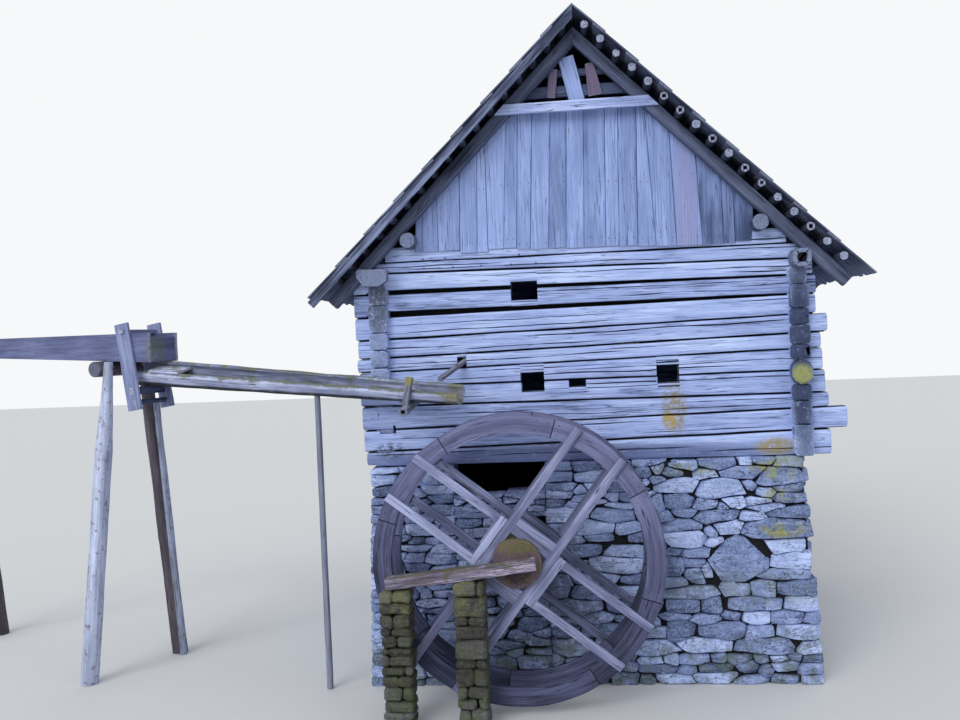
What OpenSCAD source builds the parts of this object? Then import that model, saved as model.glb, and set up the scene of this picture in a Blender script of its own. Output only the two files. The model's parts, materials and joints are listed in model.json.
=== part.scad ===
// Derelict hill mill: a small log-built house with a steep gable on a dry-stone base,
// an open overshot wheel before the gable wall and a wooden flume on trestles.
// X runs to the right along the gable wall, Y into the house, Z up.
// The origin is under the face of the gable logs, midway along the wall, on the lowest ground.

/* [Stone base] */
// Height of the dry-stone base under the logs
base_h = 2375; // [2000:5:2600]
// Thickness of the stone walls
base_t = 530; // [450:10:650]
// How far the stones stand before the gable logs
base_proud = 80; // [40:5:120]
// How much further out the foot of a wall stands than its top
base_batter = 90; // [0:10:150]
// Left and right side of the opening under the sill log, from the middle of the wall
low_opening_x = [-1460, -480];
// Left side and foot of the shaft opening
shaft_opening = [-1010, 1230];
// Underside of the slab over the shaft opening
lintel_z = 1800; // [1780:5:1820]
// Thickness of that slab
lintel_t = 60; // [40:5:70]
// Height of the wall's part on that slab
sill_h = 190; // [160:5:195]

/* [Log walls] */
// Half the clear width between the side walls
room_half = 2110; // [1900:5:2300]
// Thickness of the hewn logs
log_t = 190; // [150:5:240]
// Length of the house from front to back face
house_l = 4800; // [4200:50:5600]
// Heights of the gable logs at the left corner, from the sill up
left_courses = [155, 235, 255, 210, 165, 150, 200, 245, 245, 225, 115, 170];
// Heights of the gable logs at the right corner, from the sill up
right_courses = [250, 230, 160, 235, 225, 160, 195, 210, 200, 175, 160, 170];
// How far each side log rises above the gable log it crosses, as a share of the next one
lap_shares = [0, 0.3, 0.55, 0.4, 0.5, 0.3, 0.45, 0.3, 0.5, 0.42];
// Open joint under each gable log at the left corner
left_gaps = [0, 14, 12, 12, 10, 10, 12, 12, 60, 45, 14, 8];
// Open joint under each gable log at the right corner
right_gaps = [0, 14, 10, 12, 10, 8, 12, 10, 16, 14, 10, 8];
// Ends of the gable logs past the left corner, from the middle of the wall
left_ends = [2410, 2430, 2440, 2450, 2460, 2470, 2455, 2475, 2480, 2480, 2300, 2120];
// Ends of the gable logs past the right corner, from the middle of the wall
right_ends = [2500, 2670, 2490, 2460, 2440, 2430, 2500, 2390, 2400, 2370, 2300, 2120];
// Ends of the left side logs before the gable face; the lower four stop behind it
left_side_ends = [-30, -30, -30, -30, 120, 110, 120, 105, 60];
// Ends of the right side logs before the gable face
right_side_ends = [125, 90, 120, 160, 105, 125, 105, 140, 50];
// The right side log whose end is left round, with a hole through it
round_end = 3; // [0:1:8]

/* [Roof] */
// Height of the top of the shakes at the ridge
ridge_z = 7120; // [6600:10:7600]
// Distance from the ridge line to the eave tip
eave_x = 2880; // [2700:10:3100]
// Thickness of the shakes at a butt
shake_t = 38; // [25:1:60]
// Length of one course of shakes along the slope
shake_gauge = 420; // [250:10:600]
// Diameter of the batten poles
batten_d = 94; // [70:2:120]
// Number of batten poles on a slope
batten_n = 17; // [8:1:20]
// Depth of a rafter across its slope
rafter_h = 135; // [110:5:180]
// Width of a rafter along the house
rafter_w = 120; // [80:5:160]
// How far the batten poles run before the gable face
verge_out = 350; // [250:10:600]
// Diameter of the upper purlins
purlin_d = 170; // [120:5:200]
// Diameter of the eave plates
plate_d = 200; // [160:5:240]
// Width of the hewn head of the left eave plate
plate_head_w = 340; // [240:10:360]

/* [Doorway] */
// Middle of the back doorway, to the right of the middle of the wall
door_x = 500; // [-900:10:900]
// Width of the doorway with its jambs
door_w = 900; // [800:10:1000]

/* [Wheel] */
// Outer radius of the wheel rings
wheel_r = 1440; // [1200:10:1460]
// Width of a ring across its felloes
ring_w = 185; // [120:5:240]
// Thickness of a ring
ring_t = 50; // [40:2:70]
// Distance from the ring nearest the house to the farther one, middle to middle
ring_gap = 500; // [400:10:600]
// Height of the shaft above the pit floor
shaft_z = 1520; // [1470:5:1600]
// Distance of the shaft to the left of the middle of the wall
shaft_x = 741; // [700:5:800]
// Diameter of the timber shaft
shaft_d = 500; // [420:10:510]
// Depth of an arm along the wheel's face
arm_w = 90; // [70:2:110]
// Where the felloes of a ring meet, in degrees from the right
felloe_joints = [28, 73, 121, 162, 208, 253, 302, 342.5];
// How far two felloes lap, in degrees
felloe_lap = 10; // [4:1:14]

/* [Outer bearing] */
// Depth of the bearing beam
beam_h = 128; // [110:2:150]
// Height of the beam's middle at its left end
beam_left_z = 1382; // [1360:1:1400]
// Height of the beam's middle at its right end
beam_right_z = 1549; // [1530:1:1560]

/* [Flume] */
// Place of the flume's line where the plank channel hands over to the trough
flume_start = [-5330, 540];
// Direction of the flume in plan, from the X axis
flume_turn = -15.9; // [-17:0.1:-14]
// Length of the trough
trough_l = 4135; // [3900:5:4180]
// Height of the trough's middle at its head
trough_head_z = 3515; // [3490:5:3530]
// Height of the trough's middle at its spout
trough_spout_z = 3163; // [3150:1:3180]
// Outer radius of the trough at its head
head_r = 170; // [150:5:180]
// Outer radius of the trough at its spout
spout_r = 115; // [100:5:125]
// Where the rims of the trough stand, in degrees from its rear side over its top
trough_rims = [58, 172];
// Length of the plank channel
channel_l = 3810; // [3600:10:4000]
// Clear width between the channel boards
channel_w = 420; // [380:10:440]
// Width of a clamp board
clamp_w = 190; // [150:5:210]
// Lean of the clamp boards, in degrees
clamp_lean = 8.5; // [5:0.5:11]

/* [Hidden] */
$fn = 48;
wall_out = room_half + log_t;
base_left = wall_out + 60;
lintel_bearing = 120;
n_courses = len(left_courses);
n_side = len(right_side_ends);
plate_seat = base_h + 1955;
root2 = sqrt(2);
rafter_top = ridge_z - (shake_t + batten_d) * root2;
rafter_under = rafter_top - rafter_h * root2;
plate_x = room_half + 110;
plate_z = plate_seat + 80;
purlin_x = 1830;
purlin_z = rafter_under - purlin_x - purlin_d / 2 * root2;
batten_step = 155;
batten_first = 120;
wheel_front = -925;
wheel_rear = wheel_front + ring_gap;
arm_angle = 37.5;
a_off = 240;
b_off = 330;
gudgeon_r = 30;
arm_t = 50;
stiffener_w = 86;
front_arms_y = wheel_front - 30;
rear_arms_y = wheel_rear + 30;
floor_z = base_h + 160;
door_z0 = base_h + 225;
door_z1 = base_h + 1610;
board_t = 40;
trough_u = 100;
trough_fall = atan2(trough_head_z - trough_spout_z, trough_l);
channel_end = 510;
channel_low_z = 3607;
channel_fall = 190;
channel_start = channel_end - channel_l;
trestle_places = [0, channel_start + 300];
channel_bed_end = 330;
channel_side_h = [184, 338];
seat_clear = 0.03;
clamp_v = channel_w / 2 + board_t;
crossbar_u = 272;
bearer_foot = [-1838, -800, 3012];
bearer_head = [-1825, 240, 3107];
bearer_r = 50;
beam_x0 = -2000;
beam_l = 1470;
beam_lean = atan2(beam_right_z - beam_left_z, beam_l);
blind_skin = 28;
log_clear = 1;
lower_window_course = 3;
upper_window_course = 4;
lower_butts = [-700, 739];
upper_butts = [739];
butt_gap = 2;

function sum_to(v, n) = n <= 0 ? 0 : v[n - 1] + sum_to(v, n - 1);
function bed(v, i) = base_h + sum_to(v, i);
// Bed of side log i, then the seats where the two walls' logs are halved over each other
function side_bed(v, i) = i == 0 ? base_h : i == n_side ? plate_seat
    : bed(v, i) + lap_shares[i] * v[i];
function neck_low(v, i) = i == 0 ? base_h : (bed(v, i) + side_bed(v, i)) / 2;
function neck_high(v, i) = i == 0 ? base_h + v[0] / 2 : (side_bed(v, i) + bed(v, i + 1)) / 2;

// An outline in X and Z, given thickness along Y from y0
module slab_xz(y0, t, points) {
    translate([0, y0 + t, 0]) rotate([90, 0, 0]) linear_extrude(t) polygon(points);
}

// An outline in Y and Z, given thickness along X from x0
module slab_yz(x0, t, points) {
    translate([x0, 0, 0]) rotate([90, 0, 90]) linear_extrude(t) polygon(points);
}

// A round pole from one point to another
module pole(a, b, r1, r2) {
    v = b - a;
    len_xy = norm([v[0], v[1]]);
    translate(a) rotate([0, atan2(len_xy, v[2]), atan2(v[1], v[0])])
        cylinder(h = norm(v), r1 = r1, r2 = r2);
}

module back_copy() {
    translate([0, house_l, 0]) mirror([0, 1, 0]) children();
}

module left_and_right() {
    children();
    mirror([1, 0, 0]) children();
}

module base_front_left() {
    color("slategray") slab_xz(-base_proud, base_t, [
        [-base_left - base_batter, 0], [low_opening_x[0], 0],
        [low_opening_x[0], base_h], [-base_left, base_h]]);
}

module base_front_right() {
    color("slategray") difference() {
        slab_xz(-base_proud, base_t, [
            [low_opening_x[1], 0], [wall_out + base_batter, 0],
            [wall_out, base_h], [low_opening_x[1], base_h]]);
        translate([low_opening_x[1] - 1, -base_proud - 1, lintel_z])
            cube([lintel_bearing + 1, base_t + 2, lintel_t]);
    }
}

// The wall under the shaft opening, and the jamb on its left
module shaft_wall() {
    color("slategray") slab_xz(-base_proud, base_t, [
        [low_opening_x[0], 0], [low_opening_x[1], 0], [low_opening_x[1], shaft_opening[1]],
        shaft_opening, [shaft_opening[0], lintel_z], [low_opening_x[0], lintel_z]]);
}

module shaft_lintel() {
    color("gray") translate([low_opening_x[0], -base_proud, lintel_z])
        cube([low_opening_x[1] - low_opening_x[0] + lintel_bearing, base_t, lintel_t]);
}

module opening_sill() {
    color("gray") translate([low_opening_x[0], -base_proud, lintel_z + lintel_t])
        cube([low_opening_x[1] - low_opening_x[0], base_t, sill_h]);
}

module base_side() {
    slab_xz(base_t - base_proud, house_l + 2 * base_proud - 2 * base_t, [
        [wall_out + base_batter - base_t, 0], [wall_out + base_batter, 0],
        [wall_out, base_h], [wall_out + base_batter - base_t, base_h]]);
}

module base_left_wall() {
    color("slategray") translate([wall_out - base_left, 0, 0]) mirror([1, 0, 0]) base_side();
}

module base_right_wall() {
    color("slategray") base_side();
}

module base_back_wall() {
    color("slategray") slab_xz(house_l + base_proud - base_t, base_t, [
        [-base_left - base_batter, 0], [wall_out + base_batter, 0],
        [wall_out, base_h], [-base_left, base_h]]);
}

// The face of a gable log that hides the end of the side log behind it
module blind_lap(i) {
    slab_xz(0, blind_skin, [
        [-wall_out - 1, bed(left_courses, i) + left_gaps[i]],
        [-room_half + 1, bed(left_courses, i) + left_gaps[i]],
        [-room_half + 1, bed(left_courses, i + 1)], [-wall_out - 1, bed(left_courses, i + 1)]]);
}

// One gable log, tapered from corner to corner and halved over the side logs
module gable_log(i) {
    lo_l = bed(left_courses, i) + left_gaps[i];
    lo_r = bed(right_courses, i) + right_gaps[i];
    hi_l = bed(left_courses, i + 1);
    hi_r = bed(right_courses, i + 1);
    nl_l = neck_low(left_courses, i);
    nl_r = neck_low(right_courses, i);
    nh_l = neck_high(left_courses, i);
    nh_r = neck_high(right_courses, i);
    slab_xz(0, log_t, [
        [-left_ends[i], lo_l], [-wall_out, lo_l], [-wall_out, nl_l], [-room_half, nl_l],
        [-room_half, lo_l], [room_half, lo_r], [room_half, nl_r], [wall_out, nl_r],
        [wall_out, lo_r], [right_ends[i], lo_r],
        [right_ends[i], hi_r], [wall_out, hi_r], [wall_out, nh_r], [room_half, nh_r],
        [room_half, hi_r], [-room_half, hi_l], [-room_half, nh_l], [-wall_out, nh_l],
        [-wall_out, hi_l], [-left_ends[i], hi_l]]);
}

// The two short logs over the plates: one halved on them, one between the roof slopes
module gable_top_logs() {
    i = n_courses - 2;
    seat = plate_z + plate_d / 2 - 30;
    slab_xz(0, log_t, [
        [-left_ends[i], seat], [-room_half + 10, seat],
        [-room_half + 10, bed(left_courses, i) + left_gaps[i]],
        [room_half - 10, bed(right_courses, i) + right_gaps[i]],
        [room_half - 10, seat], [right_ends[i], seat],
        [right_ends[i], bed(right_courses, i + 1)], [-left_ends[i], bed(left_courses, i + 1)]]);
    difference() {
        slab_xz(0, log_t, [
            [-left_ends[i + 1], bed(left_courses, i + 1) + left_gaps[i + 1]],
            [right_ends[i + 1], bed(right_courses, i + 1) + right_gaps[i + 1]],
            [right_ends[i + 1], bed(right_courses, i + 2)],
            [-left_ends[i + 1], bed(left_courses, i + 2)]]);
        left_and_right() translate([purlin_x, -1, purlin_z]) rotate([-90, 0, 0])
            cylinder(h = log_t + 2, d = purlin_d);
    }
}

module gable_logs(courses) {
    for (i = courses) {
        gable_log(i);
        if (i < n_side && left_side_ends[i] < 0) blind_lap(i);
    }
}

module window_cut(x0, x1, z0, z1) {
    translate([x0, -1, z0]) cube([x1 - x0, log_t + 2, z1 - z0]);
}

// The look-out holes, the slot, the holes for the pole and the bearer of the trough, and two rotted
// mortises at the left corner
module front_wall_cuts() {
    window_cut(-767, -481, 4113, 4308);
    window_cut(-700, -446, 3131, 3335);
    window_cut(-186, -4, 3166, 3246);
    window_cut(739, 974, 3174, 3366);
    pole([-1322, -40, 3462], [-1180, 300, 3576], 34, 34);
    pole(bearer_foot, bearer_head, bearer_r + 2, bearer_r + 2);
    translate([-2250, -1, 2734]) cube([174, blind_skin + 2, 71]);
    translate([-2266, -1, 2931]) cube([154, blind_skin - 3, 21]);
}

module front_log_wall() {
    color("lightsteelblue") difference() {
        union() {
            gable_logs([0 : lower_window_course - 1]);
            gable_logs([upper_window_course + 1 : n_courses - 3]);
            gable_top_logs();
        }
        front_wall_cuts();
    }
}

// A gable log with look-outs cut in it, in lengths that are butted at the jambs
module window_log(course, butts) {
    difference() {
        gable_logs([course]);
        front_wall_cuts();
        for (x = butts) translate([x - butt_gap, -1, base_h]) cube([butt_gap, log_t + 2, 1500]);
    }
}

module lower_window_log() {
    color("lightsteelblue") window_log(lower_window_course, lower_butts);
}

module upper_window_log() {
    color("lightsteelblue") window_log(upper_window_course, upper_butts);
}

module back_log_wall() {
    color("lightsteelblue") back_copy() difference() {
        union() {
            for (i = [0 : n_courses - 3]) gable_log(i);
            gable_top_logs();
        }
        translate([door_x - door_w / 2, -1, door_z0]) cube([door_w, log_t + 2, door_z1 - door_z0]);
    }
}

module door_jambs() {
    color("slategray") translate([door_x, 0, 0]) left_and_right()
        translate([door_w / 2 - 110, house_l - log_t, door_z0]) cube([110, log_t, door_z1 - door_z0]);
}

// One side log, level from front to back, halved under and over the gable logs
module side_log(v, i, front_end) {
    lo = side_bed(v, i) + (i == 0 ? 0 : 10);
    hi = side_bed(v, i + 1);
    nl = neck_high(v, i);
    nh = neck_low(v, i + 1);
    e = max(front_end, 100);
    difference() {
        slab_yz(room_half, log_t, [
            [-e, lo], [0, lo], [0, nl], [log_t, nl], [log_t, lo],
            [house_l - log_t, lo], [house_l - log_t, nl], [house_l, nl], [house_l, lo], [house_l + e, lo],
            [house_l + e, hi], [house_l, hi], [house_l, nh], [house_l - log_t, nh], [house_l - log_t, hi],
            [log_t, hi], [log_t, nh], [0, nh], [0, hi], [-e, hi]]);
        if (front_end < e)
            translate([0, -e - 1, 0]) cube([wall_out + 1, e + 1 - front_end, 2 * base_h]);
    }
}

// The end of a side log that was never hewn: round, hollowed by rot, and just clear of the gable logs
module round_log_end(v, i, front_end) {
    lo = side_bed(v, i) + 10;
    hi = side_bed(v, i + 1);
    middle = (lo + hi) / 2;
    difference() {
        translate([room_half + log_t / 2, -front_end, middle]) rotate([-90, 0, 0])
            scale([0.86, 1, 1]) cylinder(h = front_end - log_clear / 2, d = hi - lo + 20);
        translate([room_half + log_t * 0.62, -front_end - 1, middle + 15]) rotate([-90, 0, 0])
            cylinder(h = front_end - 20, d = 80, $fn = 24);
    }
}

module left_log_wall() {
    color("lightslategray") mirror([1, 0, 0])
        for (i = [0 : n_side - 1]) side_log(left_courses, i, left_side_ends[i]);
}

module right_log_wall() {
    color("lightslategray") {
        for (i = [0 : n_side - 1])
            side_log(right_courses, i, i == round_end ? log_clear : right_side_ends[i]);
        round_log_end(right_courses, round_end, right_side_ends[round_end]);
    }
}

module floor_joists() {
    color("dimgray") for (k = [0 : 4])
        translate([-room_half, 420 + k * 955, base_h]) cube([2 * room_half, 140, floor_z - base_h]);
}

module floor_boards() {
    color("gray") translate([-room_half + 10, log_t + 5, floor_z])
        cube([2 * room_half - 20, house_l - 2 * log_t - 10, 40]);
}

// Eave plate: a round log with a flat bed, halved over the gable logs and hewn flat beside them
module eave_plate(v) {
    seat = plate_z + plate_d / 2 - 30;
    under = neck_high(v, n_side);
    difference() {
        translate([plate_x, -250, plate_z]) rotate([-90, 0, 0])
            cylinder(h = house_l + 500, d = plate_d);
        translate([plate_x - 150, -251, plate_seat - 100]) cube([300, house_l + 502, 100]);
        for (y0 = [0, house_l - log_t]) {
            translate([plate_x - 150, y0, seat]) cube([300, log_t, 100]);
            translate([plate_x - 150, y0, under - 100]) cube([300, log_t, 100]);
            translate([wall_out, y0, plate_z - 150]) cube([100, log_t, 300]);
        }
    }
}

module eave_plates() {
    color("gray") {
        eave_plate(right_courses);
        mirror([1, 0, 0]) eave_plate(left_courses);
        slab_xz(-250, 95, [
            [-plate_x - plate_head_w / 2, plate_z + 95], [-plate_x - plate_head_w / 2, plate_z - 20],
            [-plate_x - plate_head_w / 4, plate_z - 100], [-plate_x + plate_head_w / 4, plate_z - 80],
            [-plate_x + plate_head_w / 2, plate_z - 30], [-plate_x + plate_head_w / 2, plate_z + 95]]);
    }
}

module upper_purlins() {
    color("gray") left_and_right()
        translate([purlin_x, -200, purlin_z]) rotate([-90, 0, 0])
            cylinder(h = house_l + 400, d = purlin_d);
}

// One rafter of the right slope, cut plumb at the ridge and over the plate
module rafter(y0) {
    foot = 2640;
    difference() {
        slab_xz(y0, rafter_w, [
            [0, rafter_under], [foot, rafter_under - foot],
            [foot + rafter_h / root2, rafter_under - foot + rafter_h / root2], [0, rafter_top]]);
        translate([plate_x, y0 - 1, plate_z]) rotate([-90, 0, 0])
            cylinder(h = rafter_w + 2, d = plate_d);
    }
}

module right_slope_rafters() {
    for (y0 = [-150, 1190, 2340, 3490, house_l + 150 - rafter_w]) rafter(y0);
}

module collar_cut() {
    for (y0 = [-180, house_l + 120]) translate([-900, y0, 6050]) cube([1800, 60, 112]);
}

module right_rafters() {
    color("gray") difference() {
        right_slope_rafters();
        collar_cut();
    }
}

module left_rafters() {
    color("gray") difference() {
        mirror([1, 0, 0]) right_slope_rafters();
        collar_cut();
    }
}

module collar_beams() {
    color("lightsteelblue") for (y0 = [-180, house_l + 120])
        slab_xz(y0, 60, [[-855, 6050], [855, 6050], [745, 6162], [-745, 6162]]);
}

module front_gable_boards() {
    color("lightsteelblue") slab_xz(-30, 30, [
        [-1740, 4650], [1725, 4650], [1725, 4860], [1760, 4900], [560, 6150], [-560, 6150], [-1780, 4930],
        [-1740, 4870]]);
}

module back_gable_boards() {
    color("lightsteelblue") back_copy() slab_xz(-30, 30, [
        [-1740, 4650], [1740, 4650], [1740, 4870], [1780, 4930], [560, 6150], [-560, 6150], [-1780, 4930],
        [-1740, 4870]]);
}

module gable_rails() {
    color("gray") {
        for (y0 = [-30, house_l - 10]) {
            slab_xz(y0, 40, [[-600, 6230], [600, 6230], [560, 6350], [-560, 6350]]);
            slab_xz(y0, 40, [[-420, 6440], [420, 6440], [420, 6520], [-420, 6520]]);
        }
    }
}

module loose_gable_boards() {
    color("rosybrown") {
        slab_xz(-60, 30, [[-300, 6220], [-200, 6220], [-190, 6540], [-250, 6480]]);
        slab_xz(-60, 30, [[-60, 6165], [100, 6165], [40, 6690], [-150, 6590]]);
        slab_xz(-60, 30, [[130, 6220], [300, 6220], [200, 6540], [120, 6600]]);
    }
}

module slope_battens() {
    for (k = [0 : batten_n - 1]) {
        x = batten_first + k * batten_step;
        translate([x, -verge_out, rafter_top + batten_d / 2 * root2 - x]) rotate([-90, 0, 0])
            cylinder(h = house_l + 2 * verge_out, d = batten_d, $fn = 24);
    }
}

module roof_battens() {
    color("gray") left_and_right() slope_battens();
}

// Shakes on a slope: a stepped section, each course lapping the one below
module slope_shakes() {
    slope_l = eave_x * root2;
    courses = floor(slope_l / shake_gauge);
    step_l = slope_l / courses;
    top = [for (k = [0 : courses - 1]) each [
        [k * step_l, shake_t * 0.45], [(k + 1) * step_l, shake_t]]];
    translate([0, house_l + verge_out + 30, ridge_z - shake_t * root2]) rotate([90, 45, 0])
        linear_extrude(house_l + 2 * verge_out + 60)
            polygon(concat([[0, 0]], top, [[slope_l, 0]]));
}

module right_roof_shakes() {
    color("slategray") difference() {
        slope_shakes();
        translate([-500, -1000, 6000]) cube([500, house_l + 2000, 2000]);
    }
}

module left_roof_shakes() {
    color("slategray") mirror([1, 0, 0]) difference() {
        slope_shakes();
        translate([-500, -1000, 6000]) cube([500, house_l + 2000, 2000]);
    }
}

module verge_boards() {
    top = ridge_z - (shake_t + 0.5) * root2;
    low = top - 88 * root2;
    color("slategray") {
        for (y0 = [-verge_out - 25, house_l + verge_out])
            slab_xz(y0, 25, [[0, low], [0, top], [-eave_x + 20, top - eave_x + 20],
                [-eave_x - 20, top - eave_x - 20 - 4], [-eave_x + 40, low - eave_x + 40]]);
        slab_xz(house_l + verge_out, 25, [[1, low - 1], [1, top - 1], [eave_x - 20, top - eave_x + 20],
            [eave_x - 40, low - eave_x + 40]]);
    }
}

module wheel_arm_bar(angle, off, y0) {
    half = sqrt(wheel_r * wheel_r - (off + arm_w / 2) * (off + arm_w / 2)) + 10;
    rotate([0, angle, 0]) translate([-half, y0, off - arm_w / 2]) cube([2 * half, arm_t, arm_w]);
}

module arm_bars(y0) {
    for (s = [-1, 1]) {
        wheel_arm_bar(arm_angle, s * a_off, y0);
        wheel_arm_bar(arm_angle + 90, s * b_off, y0);
    }
}

// Four arms in a crossed frame that clasps the shaft: two pieces stiffen one pair of arms between
// the other two, and two blocks pack the frame out from the shaft
module arm_frame(y0) {
    packing = b_off - arm_w / 2 - shaft_d / 2;
    stiffener_l = 2 * b_off - arm_w + 2;
    arm_bars(y0);
    rotate([0, arm_angle, 0]) for (low = [a_off + arm_w / 2 - 1, -a_off - arm_w / 2 - stiffener_w + 1])
        translate([-stiffener_l / 2, y0, low]) cube([stiffener_l, arm_t, stiffener_w]);
    difference() {
        for (s = [-1, 1]) rotate([0, arm_angle + 90, 0])
            translate([-90, y0, s > 0 ? shaft_d / 2 - 8 : -b_off + arm_w / 2 - 1])
                cube([180, arm_t, packing + 9]);
        rotate([-90, 0, 0]) translate([0, 0, y0 - 1]) cylinder(h = arm_t + 2, d = shaft_d);
    }
}

module at_shaft() {
    translate([-shaft_x, 0, shaft_z]) children();
}

// A layer of one felloe: an arc of the ring from one angle to another, a millimetre short of each
module felloe_layer(y0, t, from, to) {
    short = 0.04;
    turns = [for (k = [0 : 12]) from + short + (to - from - 2 * short) * k / 12];
    translate([0, y0 + t, 0]) rotate([90, 0, 0]) linear_extrude(t) polygon(concat(
        [for (a = turns) wheel_r * [cos(a), sin(a)]],
        [for (k = [12 : -1 : 0]) (wheel_r - ring_w) * [cos(turns[k]), sin(turns[k])]]));
}

// A ring of felloes, each half lapped over the next and notched for the arms
module ring(front_y0, rear_y0, arms_y0) {
    n = len(felloe_joints);
    difference() {
        for (k = [0 : n - 1]) {
            from = felloe_joints[k];
            to = k < n - 1 ? felloe_joints[k + 1] : felloe_joints[0] + 360;
            felloe_layer(front_y0, ring_t / 2, from, to);
            felloe_layer(rear_y0, ring_t / 2, from + felloe_lap, to + felloe_lap);
        }
        arm_bars(arms_y0);
    }
}

module wheel_front_ring() {
    color("rosybrown") at_shaft() ring(wheel_front, wheel_front + ring_t / 2, front_arms_y);
}

module wheel_rear_ring() {
    color("rosybrown") at_shaft() ring(wheel_rear + ring_t / 2, wheel_rear, rear_arms_y);
}

module wheel_front_arms() {
    color("rosybrown") at_shaft() arm_frame(front_arms_y);
}

module wheel_rear_arms() {
    color("rosybrown") at_shaft() arm_frame(rear_arms_y);
}

// A log with its gudgeons, notched where the arms clasp it
module wheel_shaft() {
    color("olivedrab") at_shaft() {
        difference() {
            translate([0, -1020, 0]) rotate([-90, 0, 0]) cylinder(h = 1900, d = shaft_d);
            arm_bars(front_arms_y);
            arm_bars(rear_arms_y);
        }
        translate([0, -1260, 0]) rotate([-90, 0, 0]) cylinder(h = 2380, r = gudgeon_r);
    }
}

// Along the underside of the bearing beam, which rises to the right
module along_beam() {
    translate([beam_x0, -1235, beam_left_z - beam_h / 2]) rotate([0, -beam_lean, 0]) children();
}

// Beam under the outer gudgeon, with an open seat cut in its top
module bearing_beam() {
    color("olivedrab") difference() {
        along_beam() cube([beam_l, 170, beam_h]);
        translate([-shaft_x, -1300, shaft_z]) rotate([-90, 0, 0]) cylinder(h = 300, r = gudgeon_r + 0.05);
        translate([-shaft_x - gudgeon_r - 0.05, -1300, shaft_z]) cube([2 * gudgeon_r + 0.1, 300, 300]);
    }
}

// Two piers of stones, their tops dressed to the underside of the beam
module bearing_piers() {
    color("slategray") difference() {
        union() {
            translate([-1340, -1310, 0]) cube([300, 320, shaft_z]);
            translate([-2060, -1310, 0]) cube([300, 320, shaft_z]);
        }
        along_beam() translate([-200, -200, 0]) cube([beam_l + 200, 600, 500]);
    }
}

module inner_bearing() {
    color("dimgray") difference() {
        translate([-shaft_x - 200, 920, 0]) cube([400, 180, shaft_z + 60]);
        translate([-shaft_x, 900, shaft_z]) rotate([-90, 0, 0]) cylinder(h = 300, r = gudgeon_r + 0.05);
        translate([-shaft_x - gudgeon_r - 0.05, 900, shaft_z]) cube([2 * gudgeon_r + 0.1, 300, 100]);
    }
}

// The flume's own line: X along the water, Y to its rear
module in_flume_line() {
    translate([flume_start[0], flume_start[1], 0]) rotate([0, 0, flume_turn]) children();
}

module along_trough() {
    in_flume_line() translate([trough_u, 0, trough_head_z]) rotate([0, 90 + trough_fall, 0]) children();
}

// Height of the channel's underside along the flume
function channel_under(u) = channel_low_z + (channel_end - u) * channel_fall / channel_l;

// All above the underside of the channel, with a hair's clearance under it
module channel_room() {
    in_flume_line() slab_xz(-clamp_v, 2 * clamp_v, [
        [channel_start - 10, channel_under(channel_start - 10) - seat_clear],
        [channel_end + 2, channel_under(channel_end + 2) - seat_clear],
        [channel_end + 2, 4300], [channel_start - 10, 4300]]);
}

// The whole round of the trough's log, without its hollow
module trough_log() {
    along_trough() cylinder(h = trough_l, r1 = head_r, r2 = spout_r);
}

// A log dug out from its upper front side, open at both ends, with a splash board at its head
module trough() {
    rim_0 = trough_rims[0];
    rim_1 = trough_rims[1];
    middle = (rim_0 + rim_1) / 2;
    reach = 3 * head_r;
    color("olivedrab") {
        difference() {
            trough_log();
            along_trough() translate([0, 0, -1]) {
                cylinder(h = trough_l + 2, r1 = head_r - 38, r2 = spout_r - 32);
                linear_extrude(trough_l + 2) polygon([[0, 0],
                    reach * [-sin(rim_0), cos(rim_0)], reach * [-sin(middle), cos(middle)],
                    reach * [-sin(rim_1), cos(rim_1)]]);
            }
            channel_room();
        }
        intersection() {
            trough_log();
            along_trough() rotate([0, 0, 12]) translate([-60, -head_r, 300]) cube([28, 2 * head_r, 420]);
        }
    }
}

// Pole let into the wall under the spout, with a peg that keeps the trough in place
module trough_bearer() {
    color("gray") difference() {
        union() {
            pole(bearer_foot, bearer_head, bearer_r, bearer_r);
            pole([-1850, -612, 3020], [-1790, -612, 3360], 25, 36);
        }
        trough_log();
    }
}

// A thin prop under the trough, with its head hollowed to the log
module trough_props() {
    color("gray") difference() {
        in_flume_line() pole([2540, 0, 0], [2540, 0, 3260], 36, 32);
        trough_log();
    }
}

module control_pole() {
    color("gray") pole([-1500, -470, 3318], [-1209, 230, 3553], 30, 30);
}

// Plank channel: two side boards, a bed that stops over the trough's head, and an end board
module channel() {
    color("lightsteelblue") in_flume_line() {
        for (y0 = [-channel_w / 2 - board_t, channel_w / 2])
            slab_xz(y0, board_t, [
                [channel_start, channel_under(channel_start)], [channel_end, channel_low_z],
                [channel_end, channel_low_z + channel_side_h[1]],
                [channel_start, channel_under(channel_start) + channel_side_h[0]]]);
        slab_xz(-channel_w / 2 - 1, channel_w + 2, [
            [channel_start, channel_under(channel_start)],
            [channel_bed_end, channel_under(channel_bed_end)],
            [channel_bed_end, channel_under(channel_bed_end) + board_t],
            [channel_start, channel_under(channel_start) + board_t]]);
        slab_xz(-channel_w / 2 - 1, channel_w + 2, [
            [channel_end - 30, channel_under(channel_end - 30)], [channel_end, channel_low_z],
            [channel_end, channel_low_z + 293], [channel_end - 30, channel_low_z + 293]]);
    }
}

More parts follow.
